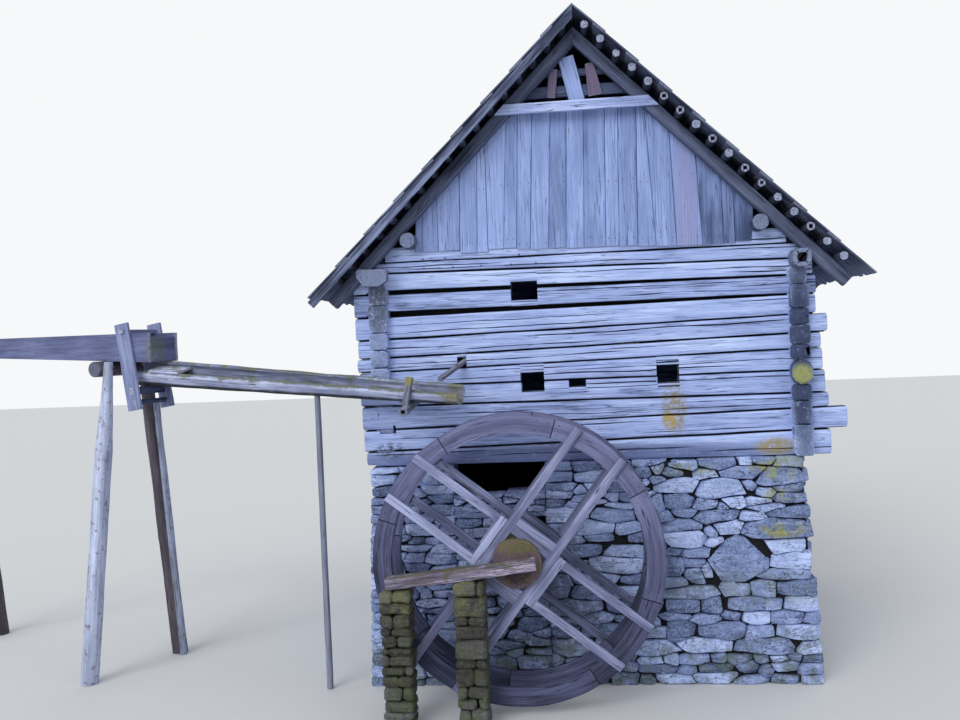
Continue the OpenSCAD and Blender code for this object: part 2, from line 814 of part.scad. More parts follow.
// Trestles a bay apart: each has a round bearer on two crooked legs. The near one also has a thin
// pole beside its rear leg.
module channel_trestles() {
    color("lightgray") difference() {
        in_flume_line() {
            for (u = trestle_places)
                translate([u, 0, channel_under(u) - channel_under(0)]) {
                    translate([-190, -360, 3556]) rotate([-90, 0, 0]) cylinder(h = 720, r = 90);
                    pole([-255, -628, -230], [-67, -400, 2630], 100, 98);
                    pole([-72, -408, 2570], [-60, -262, 3640], 91, 48);
                    pole([36, 638, -230], [-70, 330, 3640], 95, 80);
                }
            pole([129, 565, -30], [38, 388, 3120], 45, 40);
        }
        channel_room();
        in_flume_line() translate([channel_start - 500, -1000, -300]) cube([channel_l + 500, 2000, 300]);
    }
}

// The frame that holds channel and trough together: two leaning boards, a bar over the channel and
// two under the trough
module channel_clamp() {
    color("lightgray") difference() {
        in_flume_line() {
            for (v = [-clamp_v - board_t, clamp_v])
                translate([306, v, 3066]) rotate([0, -clamp_lean, 0])
                    translate([-clamp_w / 2, 0, 0]) cube([clamp_w, board_t, 1005]);
            translate([crossbar_u - 25, -clamp_v - 80, 3243]) cube([50, 2 * clamp_v + 160, 90]);
            translate([crossbar_u - 5, -clamp_v - 80, 3125]) cube([50, 2 * clamp_v + 160, 60]);
            translate([148, -clamp_v - 70, 3948.5]) cube([60, 2 * clamp_v + 140, 45]);
        }
        trough_log();
    }
}

base_front_left();
base_front_right();
shaft_wall();
shaft_lintel();
opening_sill();
base_left_wall();
base_right_wall();
base_back_wall();
front_log_wall();
lower_window_log();
upper_window_log();
back_log_wall();
left_log_wall();
right_log_wall();
door_jambs();
floor_joists();
floor_boards();
eave_plates();
upper_purlins();
left_rafters();
right_rafters();
collar_beams();
front_gable_boards();
back_gable_boards();
gable_rails();
loose_gable_boards();
roof_battens();
left_roof_shakes();
right_roof_shakes();
verge_boards();
wheel_front_ring();
wheel_rear_ring();
wheel_front_arms();
wheel_rear_arms();
wheel_shaft();
bearing_beam();
bearing_piers();
inner_bearing();
trough();
trough_bearer();
trough_props();
control_pole();
channel();
channel_trestles();
channel_clamp();
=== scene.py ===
import json
import math
import random

import bmesh
import bpy
from mathutils import Matrix, Vector, noise

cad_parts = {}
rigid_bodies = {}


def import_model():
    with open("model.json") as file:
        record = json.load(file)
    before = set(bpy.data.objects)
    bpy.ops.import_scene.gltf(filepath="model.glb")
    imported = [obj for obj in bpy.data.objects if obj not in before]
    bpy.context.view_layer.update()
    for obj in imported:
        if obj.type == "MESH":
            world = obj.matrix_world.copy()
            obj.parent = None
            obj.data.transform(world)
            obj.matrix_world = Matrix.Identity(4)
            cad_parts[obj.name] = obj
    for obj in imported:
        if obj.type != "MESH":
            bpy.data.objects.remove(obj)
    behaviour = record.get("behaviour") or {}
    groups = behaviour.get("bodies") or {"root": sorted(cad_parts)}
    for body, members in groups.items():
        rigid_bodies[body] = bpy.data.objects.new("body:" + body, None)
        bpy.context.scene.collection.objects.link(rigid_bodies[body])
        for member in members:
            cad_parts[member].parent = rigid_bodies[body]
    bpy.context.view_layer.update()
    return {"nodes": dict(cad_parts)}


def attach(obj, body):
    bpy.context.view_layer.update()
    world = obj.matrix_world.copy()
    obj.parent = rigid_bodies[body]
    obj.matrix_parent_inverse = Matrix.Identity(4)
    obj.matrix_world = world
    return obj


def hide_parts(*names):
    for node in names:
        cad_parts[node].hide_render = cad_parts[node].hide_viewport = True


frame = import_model()

# The camera stands where the photograph was taken: before the wheel pit, level with the upper logs,
# turned a little to the left and leaning by some two degrees.
EYE = Vector((-0.016, -10.37, 3.687))
TURNED_LEFT = math.radians(6.11)
LOOKS_DOWN = math.radians(1.08)
LEANS = math.radians(-2.375)
LENS = 36.41

scene_objects = bpy.context.scene.collection.objects
camera = bpy.data.objects.new("camera", bpy.data.cameras.new("camera"))
scene_objects.link(camera)
bpy.context.scene.camera = camera
camera.data.sensor_width = 36.0
camera.data.lens = LENS
camera.matrix_world = (
    Matrix.Translation(EYE)
    @ Matrix.Rotation(TURNED_LEFT, 4, "Z")
    @ Matrix.Rotation(math.radians(90) - LOOKS_DOWN, 4, "X")
    @ Matrix.Rotation(LEANS, 4, "Z")
)
bpy.context.scene.view_settings.view_transform = "Standard"


# A plain pale studio: a level floor at the foot of the walls, an even sky and one soft lamp from the
# left front, high up, as the open side of the clearing lights the mill.
def paint(red, green, blue):
    """A colour from 0 to 255, as a screen shows it, made ready for a shader."""
    return tuple((c / 255) ** 2.2 for c in (red, green, blue)) + (1.0,)


class Field:
    """A value that changes over a surface. Sums on it add the Math nodes that work it out."""

    def __init__(self, finish, socket):
        self.finish = finish
        self.socket = socket

    def sum(self, operation, first, second):
        return self.finish.node("Math", {"operation": operation}, {0: first, 1: second})

    def __add__(self, other):
        return self.sum("ADD", self, other)

    def __sub__(self, other):
        return self.sum("SUBTRACT", self, other)

    def __rsub__(self, other):
        return self.sum("SUBTRACT", other, self)

    def __mul__(self, other):
        return self.sum("MULTIPLY", self, other)

    __radd__ = __add__
    __rmul__ = __mul__

    def __abs__(self):
        return self.sum("ABSOLUTE", self, 0.0)

    def step(self, low, high):
        """Rises softly from 0 at low to 1 at high."""
        ends = {"Value": self, "From Min": low, "From Max": high}
        return self.finish.node("MapRange", {"interpolation_type": "SMOOTHSTEP"}, ends)


class Finish:
    """A material in the making, with its shader. put() fills one of the shader's sockets, and mix()
    takes fields or colours from 0 to 255."""

    def __init__(self, name):
        self.material = bpy.data.materials.new(name)
        self.material.use_nodes = True
        self.tree = self.material.node_tree
        self.shader = self.tree.nodes["Principled BSDF"]

    def node(self, kind, settings=None, sockets=None, out=0):
        made = self.tree.nodes.new("ShaderNode" + kind)
        for name, value in (settings or {}).items():
            setattr(made, name, value)
        for name, value in (sockets or {}).items():
            self.fill(made.inputs[name], value)
        return Field(self, made.outputs[out])

    def fill(self, socket, value):
        if isinstance(value, Field):
            self.tree.links.new(value.socket, socket)
        else:
            socket.default_value = value

    def put(self, name, value):
        self.fill(self.shader.inputs[name], value)

    def place(self):
        return self.node("TexCoord", out=3)

    def mark(self, name, out=2):
        return self.node("Attribute", {"attribute_name": name}, out=out)

    def stretch(self, vector, *scale):
        return self.node("VectorMath", {"operation": "MULTIPLY"}, {0: vector, 1: scale})

    def mottle(self, vector, scale, detail=3.0, roughness=0.5):
        sockets = {"Vector": vector, "Scale": scale, "Detail": detail, "Roughness": roughness}
        return self.node("TexNoise", sockets=sockets)

    def mix(self, share, first, second):
        first, second = (c if isinstance(c, Field) else paint(*c) for c in (first, second))
        return self.node("Mix", {"data_type": "RGBA"}, {0: share, 6: first, 7: second}, out=2)

    def relief(self, height, depth, strength=1.0):
        sockets = {"Height": height, "Distance": depth, "Strength": strength}
        self.put("Normal", self.node("Bump", sockets=sockets))


FLOOR_SIZE = 60.0
FLOOR_DROP = 0.003
SKY_LIGHT = 0.80
LAMP_LIGHT = 1.5
LAMP_SPREAD = math.radians(35)
LAMP_TURN = (math.radians(60), 0, math.radians(-26))

floor_finish = Finish("studio_floor")
floor_finish.put("Base Color", (0.62, 0.63, 0.64, 1.0))
floor_finish.put("Roughness", 0.9)
floor_shape = bmesh.new()
bmesh.ops.create_grid(floor_shape, x_segments=1, y_segments=1, size=FLOOR_SIZE)
floor_mesh = bpy.data.meshes.new("studio_floor")
floor_shape.to_mesh(floor_mesh)
floor_shape.free()
floor_mesh.materials.append(floor_finish.material)
floor = bpy.data.objects.new("studio_floor", floor_mesh)
floor.location.z = -FLOOR_DROP
scene_objects.link(floor)

sky = bpy.data.worlds.new("sky")
bpy.context.scene.world = sky
sky.use_nodes = True
sky_nodes = sky.node_tree.nodes
sky_light = sky_nodes["Background"]
sky_seen = sky_nodes.new("ShaderNodeBackground")
sky_mix = sky_nodes.new("ShaderNodeMixShader")
sky_path = sky_nodes.new("ShaderNodeLightPath")
sky_light.inputs["Color"].default_value = (0.96, 0.98, 1.0, 1.0)
sky_light.inputs["Strength"].default_value = SKY_LIGHT
sky_seen.inputs["Color"].default_value = (0.93, 0.94, 0.95, 1.0)
for way_out, way_in in (
    (sky_path.outputs["Is Camera Ray"], sky_mix.inputs[0]),
    (sky_light.outputs[0], sky_mix.inputs[1]),
    (sky_seen.outputs[0], sky_mix.inputs[2]),
    (sky_mix.outputs[0], sky_nodes["World Output"].inputs["Surface"]),
):
    sky.node_tree.links.new(way_out, way_in)

lamp = bpy.data.objects.new("soft_lamp", bpy.data.lights.new("soft_lamp", "SUN"))
lamp.data.energy = LAMP_LIGHT
lamp.data.angle = LAMP_SPREAD
lamp.rotation_euler = LAMP_TURN
scene_objects.link(lamp)

# The base is a dry wall of split field stone, laid without mortar. Each stone is cut from a block by
# one plane towards every neighbour, so the stones fit each other with a dark joint between them.
BASE_HIGH = 2.375
BASE_THICK = 0.53
WALL_OUT = 2.30
LEFT_FOOT = 0.06
BATTER = 0.09
FACE_Y = -0.08
BACK_Y = 4.88
STONE_DEEP = 0.26
CORE_BACK = 0.055
JOINT = (0.001, 0.010)
COURSE_HIGH = (0.06, 0.17)
STONE_WIDE = (1.2, 4.2)
STONE_PROUD = 0.024
BLOCK_SPARE = (1.22, 1.26)
SPALLED_SHARE = 0.6
STONE_PALE = (188, 206, 252)
STONE_MID = (128, 145, 191)
STONE_DARK = (52, 62, 86)
LICHEN_YELLOW = (160, 160, 92)
LICHEN_OLIVE = (140, 148, 112)
LICHEN_PALE = (146, 158, 160)
MOSS_GREEN = (86, 96, 66)
# Stones that stand out on the right of the wheel: middle along and up, width and height
CHOSEN_STONES = [
    (1.35, 2.31, 0.37, 0.11), (1.60, 2.32, 0.13, 0.09), (1.80, 2.33, 0.20, 0.08), (2.04, 2.31, 0.27, 0.11),
    (0.97, 2.30, 0.24, 0.09), (0.86, 2.24, 0.21, 0.09), (0.70, 2.27, 0.12, 0.10), (0.57, 2.24, 0.16, 0.10),
    (1.20, 2.21, 0.22, 0.10), (1.58, 2.23, 0.47, 0.14), (1.97, 2.17, 0.50, 0.20), (0.70, 2.16, 0.15, 0.08),
    (0.55, 2.13, 0.15, 0.08), (0.88, 2.09, 0.48, 0.14), (1.34, 2.05, 0.52, 0.20), (1.64, 2.08, 0.12, 0.08),
    (2.04, 2.04, 0.27, 0.09), (1.81, 2.00, 0.17, 0.10), (2.04, 1.95, 0.28, 0.09), (0.69, 1.90, 0.15, 0.19),
    (0.91, 1.92, 0.33, 0.16), (1.19, 1.89, 0.22, 0.11), (1.36, 1.87, 0.10, 0.06), (1.49, 1.91, 0.22, 0.11),
    (1.72, 1.92, 0.24, 0.07), (1.80, 1.84, 0.34, 0.07), (0.76, 1.77, 0.18, 0.12), (0.98, 1.80, 0.26, 0.08),
    (1.30, 1.77, 0.48, 0.15), (1.66, 1.76, 0.27, 0.09), (2.00, 1.79, 0.40, 0.11), (0.90, 1.67, 0.42, 0.14),
    (1.42, 1.65, 0.28, 0.13), (1.90, 1.62, 0.76, 0.21), (0.98, 1.54, 0.48, 0.17), (1.23, 1.60, 0.11, 0.10),
    (1.26, 1.50, 0.16, 0.08), (0.70, 1.47, 0.12, 0.14), (0.84, 1.40, 0.16, 0.07), (1.08, 1.38, 0.28, 0.10),
    (1.50, 1.33, 0.62, 0.42), (1.98, 1.44, 0.34, 0.13), (0.80, 1.26, 0.24, 0.20), (1.06, 1.28, 0.22, 0.10),
    (0.36, 1.66, 0.26, 0.12), (0.62, 2.345, 0.30, 0.06), (1.17, 1.21, 0.10, 0.14), (0.46, 1.56, 0.15, 0.09),
    (2.02, 1.29, 0.36, 0.16), (1.05, 1.16, 0.18, 0.15), (0.82, 1.07, 0.26, 0.12), (1.95, 1.14, 0.46, 0.12),
]

scratch = bpy.data.meshes.new("scratch")
# Left alone, noise_vector starts from the clock and lays other stones each time
noise.seed_set(11)


def new_shape():
    """An empty shape whose corners carry the grain of the wood, a tone, and a mark for cut ends. In
    some pieces the tone also carries painted light and shade, and the mark carries painted shade in joints.
    """
    shape = bmesh.new()
    shape.verts.layers.float_vector.new("grain")
    shape.verts.layers.float.new("tone")
    shape.verts.layers.float.new("cut")
    return shape


def gather(whole, shape):
    """Adds a small finished shape to a whole one."""
    shape.to_mesh(scratch)
    whole.from_mesh(scratch)
    shape.free()


def set_piece(name, whole, finish, slot, *nodes, body="mill"):
    """Turns a whole shape into a piece that rides on its body and stands for its nodes."""
    bmesh.ops.recalc_face_normals(whole, faces=whole.faces[:])
    mesh = bpy.data.meshes.new(name)
    whole.to_mesh(mesh)
    whole.free()
    mesh.materials.append(finish.material)
    mesh.shade_smooth()
    mesh.set_sharp_from_angle(angle=math.radians(38))
    made = bpy.data.objects.new(name, mesh)
    scene_objects.link(made)
    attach(made, body)
    if nodes:
        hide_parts(*nodes)


def cut_off(shape, point, normal):
    """Cuts away what lies beyond a plane and closes the cut."""
    geometry = shape.verts[:] + shape.edges[:] + shape.faces[:]
    made = bmesh.ops.bisect_plane(
        shape, geom=geometry, plane_co=point, plane_no=normal, clear_outer=True
    )
    rim = [e for e in made["geom_cut"] if isinstance(e, bmesh.types.BMEdge)]
    if rim:
        bmesh.ops.edgeloop_fill(shape, edges=rim)


def break_edges(shape, arris):
    """Takes the sharpness off a stone's edges, as weather and handling do."""
    bmesh.ops.bevel(
        shape, geom=shape.edges[:], offset=arris, offset_type="OFFSET", segments=1,
        profile=0.5, affect="EDGES", clamp_overlap=True, material=-1,
    )
    bmesh.ops.triangulate(shape, faces=shape.faces[:])


def split_stone(rng, middle, size, near, front, deep, limits):
    """One stone: middle (along, up) and size (wide, high) on the face of its wall, cut towards the
    stones near it and the limits of the wall. It stands front before the face and runs deep in."""
    shape = new_shape()
    wide, high = size
    block = Matrix.Diagonal((wide * BLOCK_SPARE[0], high * BLOCK_SPARE[1], deep + front, 1))
    centre = Vector((middle[0], middle[1], (front - deep) / 2))
    bmesh.ops.create_cube(shape, size=1, matrix=Matrix.Translation(centre) @ block)
    for (along, up), (other_wide, other_high) in near:
        toward = Vector((
            (along - middle[0]) / (wide + other_wide) ** 2,
            (up - middle[1]) / (high + other_high) ** 2,
            0,
        ))
        toward.normalize()
        toward.rotate(Matrix.Rotation(rng.uniform(-0.07, 0.07), 3, "Z"))
        own = math.hypot(wide * toward.x, high * toward.y)
        its = math.hypot(other_wide * toward.x, other_high * toward.y)
        gap = Vector((along - middle[0], up - middle[1], 0)).dot(toward)
        reach = gap * own / (own + its) - rng.uniform(*JOINT)
        cut_off(shape, centre + toward * reach, toward)
    for point, normal in limits:
        cut_off(shape, point, normal)
    split = Vector((rng.uniform(-0.12, 0.12), rng.uniform(-0.22, 0.10), 1)).normalized()
    cut_off(shape, Vector((centre.x, centre.y, front * rng.uniform(0.6, 0.95))), split)
    for side in (-1, 1):
        if rng.random() < SPALLED_SHARE:
            spall = Vector((side * rng.uniform(0.3, 0.9), rng.uniform(-0.6, 0.6), 1)).normalized()
            cut_off(shape, Vector((centre.x + side * wide * 0.30, centre.y, front * 0.5)), spall)
    if len(shape.faces) < 4:
        shape.free()
        return None
    break_edges(shape, min(0.012, 0.12 * min(size)) * rng.uniform(0.7, 1.1))
    seen = [e for e in shape.edges if e.calc_length() > 0.075 and max(v.co.z for v in e.verts) > -0.05]
    bmesh.ops.subdivide_edges(shape, edges=seen, cuts=1)
    bmesh.ops.smooth_vert(
        shape, verts=shape.verts[:], factor=0.12, use_axis_x=True, use_axis_y=True, use_axis_z=True
    )
    tone = shape.verts.layers.float["tone"]
    own_tone = rng.random()
    shift = Vector((rng.uniform(0, 50), 0, 0))
    for corner in shape.verts:
        corner[tone] = own_tone
        lump = noise.noise_vector(corner.co * 7 + shift) * 0.013
        chip = noise.noise_vector(corner.co * 26 + shift) * 0.008
        corner.co += lump + chip
    return shape


def lay_wall(whole, rng, along, lean, high, place, chosen=(), quoins=(True, True), floor_at=0.0):
    """Lays a face of stones: along is (from, to) at its foot and lean how far each end moves to its
    top. place turns (along, up, out) into the mill. Chosen stones are laid first."""
    stones = [((a, u), (w, h)) for a, u, w, h in chosen]
    up = floor_at
    while up < high - 0.03:
        course = min(rng.uniform(*COURSE_HIGH), max(high - up, COURSE_HIGH[0]))
        reach = along[0] + lean[0] * up / high
        end = along[1] + lean[1] * up / high
        while reach < end - 0.02:
            wide = rng.uniform(*STONE_WIDE) * max(course, 0.08)
            wide = end - reach if end - reach - wide < 0.10 else wide
            middle = (reach + wide / 2, up + course / 2 + rng.uniform(-0.03, 0.03))
            size = (wide, course * rng.uniform(0.75, 1.25))
            clear = all(
                abs(middle[0] - a) > 0.45 * w + 0.3 * size[0] or abs(middle[1] - b) > 0.45 * h + 0.3 * size[1]
                for (a, b), (w, h) in stones[: len(chosen)]
            )
            if clear:
                stones.append((middle, size))
            reach += wide
        up += course
    left_lean = math.atan2(lean[0], high)
    right_lean = math.atan2(lean[1], high)
    limits = [
        (Vector((along[0], 0, 0)), Vector((-math.cos(left_lean), math.sin(left_lean), 0))),
        (Vector((along[1], 0, 0)), Vector((math.cos(right_lean), -math.sin(right_lean), 0))),
        (Vector((0, high - 0.004, 0)), Vector((0, 1, 0))),
        (Vector((0, floor_at, 0)), Vector((0, -1, 0))),
    ]
    for middle, size in stones:
        near = [
            (m, s) for m, s in stones
            if m is not middle
            and abs(m[0] - middle[0]) < 0.75 * (s[0] + size[0])
            and abs(m[1] - middle[1]) < 0.85 * (s[1] + size[1])
        ]
        at_end = (
            quoins[0] and middle[0] - size[0] < along[0] + 0.05
            or quoins[1] and middle[0] + size[0] > along[1] + lean[1] - 0.05
        )
        deep = BASE_THICK - 0.01 if at_end else STONE_DEEP
        shape = split_stone(rng, middle, size, near, rng.uniform(0.0, STONE_PROUD), deep, limits)
        if shape is None:
            continue
        for corner in shape.verts:
            corner.co = place(*corner.co)
        gather(whole, shape)


def lay_core(whole, along, lean, high, place, floor_at=0.0):
    """The dark heart of a wall, behind its joints: painted shade, seen through them."""
    shape = new_shape()
    bmesh.ops.create_cube(shape, size=1)
    for corner in shape.verts:
        side = 0 if corner.co.x < 0 else 1
        level = high - 0.03 if corner.co.y > 0 else floor_at
        inward = 0.06 if side == 0 else -0.06
        a = along[side] + lean[side] * level / high + inward
        out = -CORE_BACK if corner.co.z > 0 else -BASE_THICK + 0.02
        corner.co = place(a, level, out)
    gather(whole, shape)


def near_point(finish, place, centre, reach):
    """1 around a point, fading to 0 at its reach along each axis."""
    off = finish.node("VectorMath", {"operation": "SUBTRACT"}, {0: place, 1: centre})
    off = finish.node("VectorMath", {"operation": "DIVIDE"}, {0: off, 1: reach})
    return 1 - finish.node("VectorMath", {"operation": "LENGTH"}, {0: off}, out=1).step(0.45, 1.0)


def stone_finish(name, lichen_and_shade, shades=(STONE_DARK, STONE_MID, STONE_PALE)):
    """Grey split stone: layered, speckled, each stone of its own tone. Its list of marks gives places of
    lichen and moss, and of painted shade, as centre, reach, colour and strength."""
    finish = Finish(name)
    place = finish.place()
    tone = finish.mark("tone")
    clouds = finish.mottle(place, 4.5, 4, 0.6)
    grain = finish.mottle(place, 46, 5, 0.7)
    grit = finish.mottle(place, 150, 2)
    strata = finish.mottle(finish.stretch(place, 5, 5, 34), 1, 4, 0.65)
    layers = finish.mottle(finish.stretch(place, 6, 6, 15), 1, 3, 0.6)
    cracks = (1 - abs(layers - 0.5).step(0.0, 0.022)) * clouds.step(0.4, 0.6)
    light = clouds * 0.6 + grain * 0.75 + strata * 0.45 + grit * 0.35 + tone * 0.40 - 0.86
    colour = finish.mix(light.step(0.0, 0.40), shades[0], shades[1])
    colour = finish.mix(light.step(0.30, 0.72), colour, shades[2])
    colour = finish.mix(cracks * 0.8, colour, shades[0])
    crust = finish.mottle(place, 11, 6, 0.75)
    colour = finish.mix(crust.step(0.60, 0.72) * 0.4, colour, LICHEN_PALE)
    for centre, reach, shade, strength in lichen_and_shade:
        broken = (finish.mottle(place, 9, 6, 0.75) + tone * 0.16).step(0.46, 0.66) * strength
        colour = finish.mix(near_point(finish, place, centre, reach) * broken, colour, shade)
    if lichen_and_shade:
        up = finish.node("SeparateXYZ", sockets={0: place}, out=2)
        damp = (1 - up.step(0.2, 1.5)) * finish.mottle(place, 6, 5, 0.7)
        colour = finish.mix(damp.step(0.42, 0.6) * 0.6, colour, MOSS_GREEN)
    finish.put("Base Color", colour)
    finish.put("Roughness", 0.88 - grit * 0.12)
    finish.put("Specular IOR Level", 0.3)
    finish.relief(clouds * 0.35 + strata * 0.3 + grain * 0.45 + crust * 0.15 - cracks * 0.3, 0.026, 1.0)
    return finish


field_stone = stone_finish("field_stone", [
    # Painted shade: the stones behind the wheel are darkened as its shadow. The marks after it are lichen and
    # moss.
    ((-0.65, -0.1, 1.0), (1.25, 0.3, 1.25), (66, 74, 98), 0.75),
    ((1.98, -0.1, 1.60), (0.36, 0.3, 0.12), LICHEN_YELLOW, 0.85),
    ((1.98, -0.1, 2.26), (0.34, 0.3, 0.18), LICHEN_OLIVE, 0.9),
    ((1.74, -0.1, 2.26), (0.14, 0.3, 0.07), LICHEN_YELLOW, 0.8),
    ((1.96, -0.1, 1.98), (0.26, 0.3, 0.11), LICHEN_OLIVE, 0.9),
    ((0.98, -0.1, 2.26), (0.42, 0.3, 0.10), LICHEN_OLIVE, 0.7),
    ((1.45, -0.1, 1.0), (1.2, 0.3, 0.30), MOSS_GREEN, 0.5),
])
# The hearts of the walls are painted near black: painted shade, seen through the joints between the stones.
joint_shade_finish = Finish("joint_shade_finish")
joint_shade_grain = joint_shade_finish.mottle(joint_shade_finish.place(), 14, 5, 0.7)
joint_shade_finish.put("Base Color", joint_shade_finish.mix(joint_shade_grain.step(0.35, 0.7), (9, 10, 14), (24, 27, 33)))
joint_shade_finish.put("Roughness", 0.95)
joint_shade_finish.relief(joint_shade_grain, 0.05)

OPENING_LEFT = -1.46
OPENING_RIGHT = -0.48
SHAFT_GAP_LEFT = -1.01
SHAFT_GAP = (1.23, 1.80)


def on_front(along, up, out):
    return Vector((along, FACE_Y - out, up))


def on_back(along, up, out):
    return Vector((along, BACK_Y + out, up))


def on_left(along, up, out):
    return Vector((-WALL_OUT - LEFT_FOOT - BATTER * (1 - up / BASE_HIGH) - out, along, up))


def on_right(along, up, out):
    return Vector((WALL_OUT + BATTER * (1 - up / BASE_HIGH) + out, along, up))


rng = random.Random(11)
left_end = -WALL_OUT - LEFT_FOOT - BATTER
right_end = WALL_OUT + BATTER
FRONT_END = right_end - 0.055
side_run = (BASE_THICK + FACE_Y, BACK_Y - BASE_THICK)
WALLS = [
    ("front_right", (OPENING_RIGHT, FRONT_END), (0, -BATTER), on_front, "base_front_right"),
    ("front_left", (left_end, OPENING_LEFT), (BATTER, 0), on_front, "base_front_left"),
    ("left", side_run, (0, 0), on_left, "base_left_wall"),
    ("right", side_run, (0, 0), on_right, "base_right_wall"),
    ("back", (left_end, right_end), (BATTER, -BATTER), on_back, "base_back_wall"),
]
hearts = new_shape()
for name, run, lean, place, node in WALLS:
    stones = new_shape()
    chosen = CHOSEN_STONES if name == "front_right" else ()
    ends = (False, False) if name in ("left", "right") else (True, True)
    lay_wall(stones, rng, run, lean, BASE_HIGH, place, chosen, ends)
    lay_core(hearts, run, lean, BASE_HIGH, place)
    set_piece("base_stones_" + name, stones, field_stone, "field_stone", node)

# Under the shaft's opening, and the jamb left of it
shaft_stones = new_shape()
for right, low, high in ((OPENING_RIGHT, 0.0, SHAFT_GAP[0]), (SHAFT_GAP_LEFT, *SHAFT_GAP)):
    lay_wall(shaft_stones, rng, (OPENING_LEFT, right), (0, 0), high, on_front, floor_at=low)
    lay_core(hearts, (OPENING_LEFT, right), (0, 0), high, on_front, low)
set_piece("base_stones_shaft", shaft_stones, field_stone, "field_stone", "shaft_wall")
set_piece("base_hearts", hearts, joint_shade_finish, "field_stone")

# The house is built of logs hewn flat on their faces, halved over each other at the corners with their
# ends left long. They have dried with deep checks along the grain and weathered to silver.
ROOM_HALF = 2.11
LOG_THICK = 0.19
LOG_PITCH = 0.045
HOUSE_LONG = 4.80
LEFT_COURSES = (0.155, 0.235, 0.255, 0.210, 0.165, 0.150, 0.200, 0.245, 0.245, 0.225, 0.115, 0.170)
RIGHT_COURSES = (0.250, 0.230, 0.160, 0.235, 0.225, 0.160, 0.195, 0.210, 0.200, 0.175, 0.160, 0.170)
LEFT_GAPS = (0, 0.014, 0.012, 0.012, 0.010, 0.010, 0.012, 0.012, 0.060, 0.045, 0.014, 0.008)
RIGHT_GAPS = (0, 0.014, 0.010, 0.012, 0.010, 0.008, 0.012, 0.010, 0.016, 0.014, 0.010, 0.008)
LEFT_ENDS = (2.41, 2.43, 2.44, 2.45, 2.46, 2.47, 2.455, 2.475, 2.48, 2.48, 2.30, 2.12)
RIGHT_ENDS = (2.50, 2.67, 2.49, 2.46, 2.44, 2.43, 2.50, 2.39, 2.40, 2.37, 2.30, 2.12)
LEFT_SIDE_ENDS = (-0.03, -0.03, -0.03, -0.03, 0.12, 0.11, 0.12, 0.105, 0.06)
RIGHT_SIDE_ENDS = (0.125, 0.09, 0.12, 0.001, 0.105, 0.125, 0.105, 0.14, 0.05)
BACK_ENDS = 0.10
CHECK_SHARES = (0.27, 0.52, 0.76)
LAP_SHARES = (0, 0.3, 0.55, 0.4, 0.5, 0.3, 0.45, 0.3, 0.5, 0.42)
PLATE_SEAT = BASE_HIGH + 1.955
# Openings in the gable logs: from, to, bottom and top
FRONT_HOLES = [
    (-0.767, -0.481, 4.113, 4.308), (-0.700, -0.446, 3.131, 3.335), (-0.186, -0.004, 3.166, 3.246),
    (0.739, 0.974, 3.174, 3.366), (-1.375, -1.275, 3.435, 3.525), (-2.250, -2.076, 2.734, 2.805),
    (-2.266, -2.112, 2.931, 2.952), (-0.704, -0.700, 3.012, 3.131), (0.735, 0.739, 3.012, 3.174),
]
PIT_SLOPE = 0.005
DOOR_SIDES = (0.05, 0.95)
DOOR_LOW = BASE_HIGH + 0.225
DOOR_HIGH = BASE_HIGH + 1.610
LOG_PALE = (194, 212, 254)
LOG_MID = (156, 174, 226)
LOG_DARK = (64, 76, 110)
# Near black of the checks: painted shade in the cracks of the wood
CHECK_SHADE = (22, 27, 38)
CUT_PALE = (176, 180, 196)
# Dark of rotted hollows, and painted shade deep in the joints and checks of the logs and in the joints of the
# wheel's rings
ROT_AND_SHADE_DARK = (26, 27, 34)


def wave(x, y, z):
    """A smooth random value between -1 and 1 that wanders with its three numbers."""
    return noise.noise(Vector((x, y, z)))


def stick(stations, section, place, tone=0.0, shift=0.0, ends_cut=(1.0, 1.0)):
    """A closed bar. section(l) gives the corners (a, b) of the bar at each station l along it, and
    place(l, a, b) puts them into the mill. ends_cut marks its ends: 1 is a pale cut, -1 dark."""
    rows = [section(l) for l in stations]
    sides = len(rows[0])
    last = len(stations) - 1
    shape = new_shape()
    ends = bmesh.ops.create_cone(
        shape, cap_ends=True, cap_tris=False, segments=sides, radius1=1, radius2=1, depth=1
    )["verts"]
    runs = {e for v in ends for e in v.link_edges if abs(e.verts[0].co.z - e.verts[1].co.z) > 0.5}
    bmesh.ops.subdivide_edges(shape, edges=list(runs), cuts=last - 1)
    grain = shape.verts.layers.float_vector["grain"]
    tones = shape.verts.layers.float["tone"]
    cut = shape.verts.layers.float["cut"]
    for corner in shape.verts:
        k = round(math.atan2(corner.co.y, corner.co.x) / math.tau * sides) % sides
        j = round((corner.co.z + 0.5) * last)
        a, b = rows[j][k]
        corner[grain] = (stations[j] + shift, a, b)
        corner[tones] = tone
        corner[cut] = ends_cut[0] if j == 0 else ends_cut[1] if j == last else 0.0
        corner.co = place(stations[j], a, b)
    return shape


def oblong(sides, power):
    """The corners of a rounded section that fills a square from -1 to 1: a circle at power 2."""
    turns = [math.tau * k / sides for k in range(sides)]
    return [
        [math.copysign(abs(part) ** (2 / power), part) for part in (math.cos(turn), math.sin(turn))]
        for turn in turns
    ]


def along_bar(start, end, parts, ease=0.007):
    """Stations along a bar in equal parts, with one close to each end so that the end is eased."""
    inner = [start + (end - start) * k / parts for k in range(1, parts)]
    return [start, start + ease, *inner, end - ease, end]


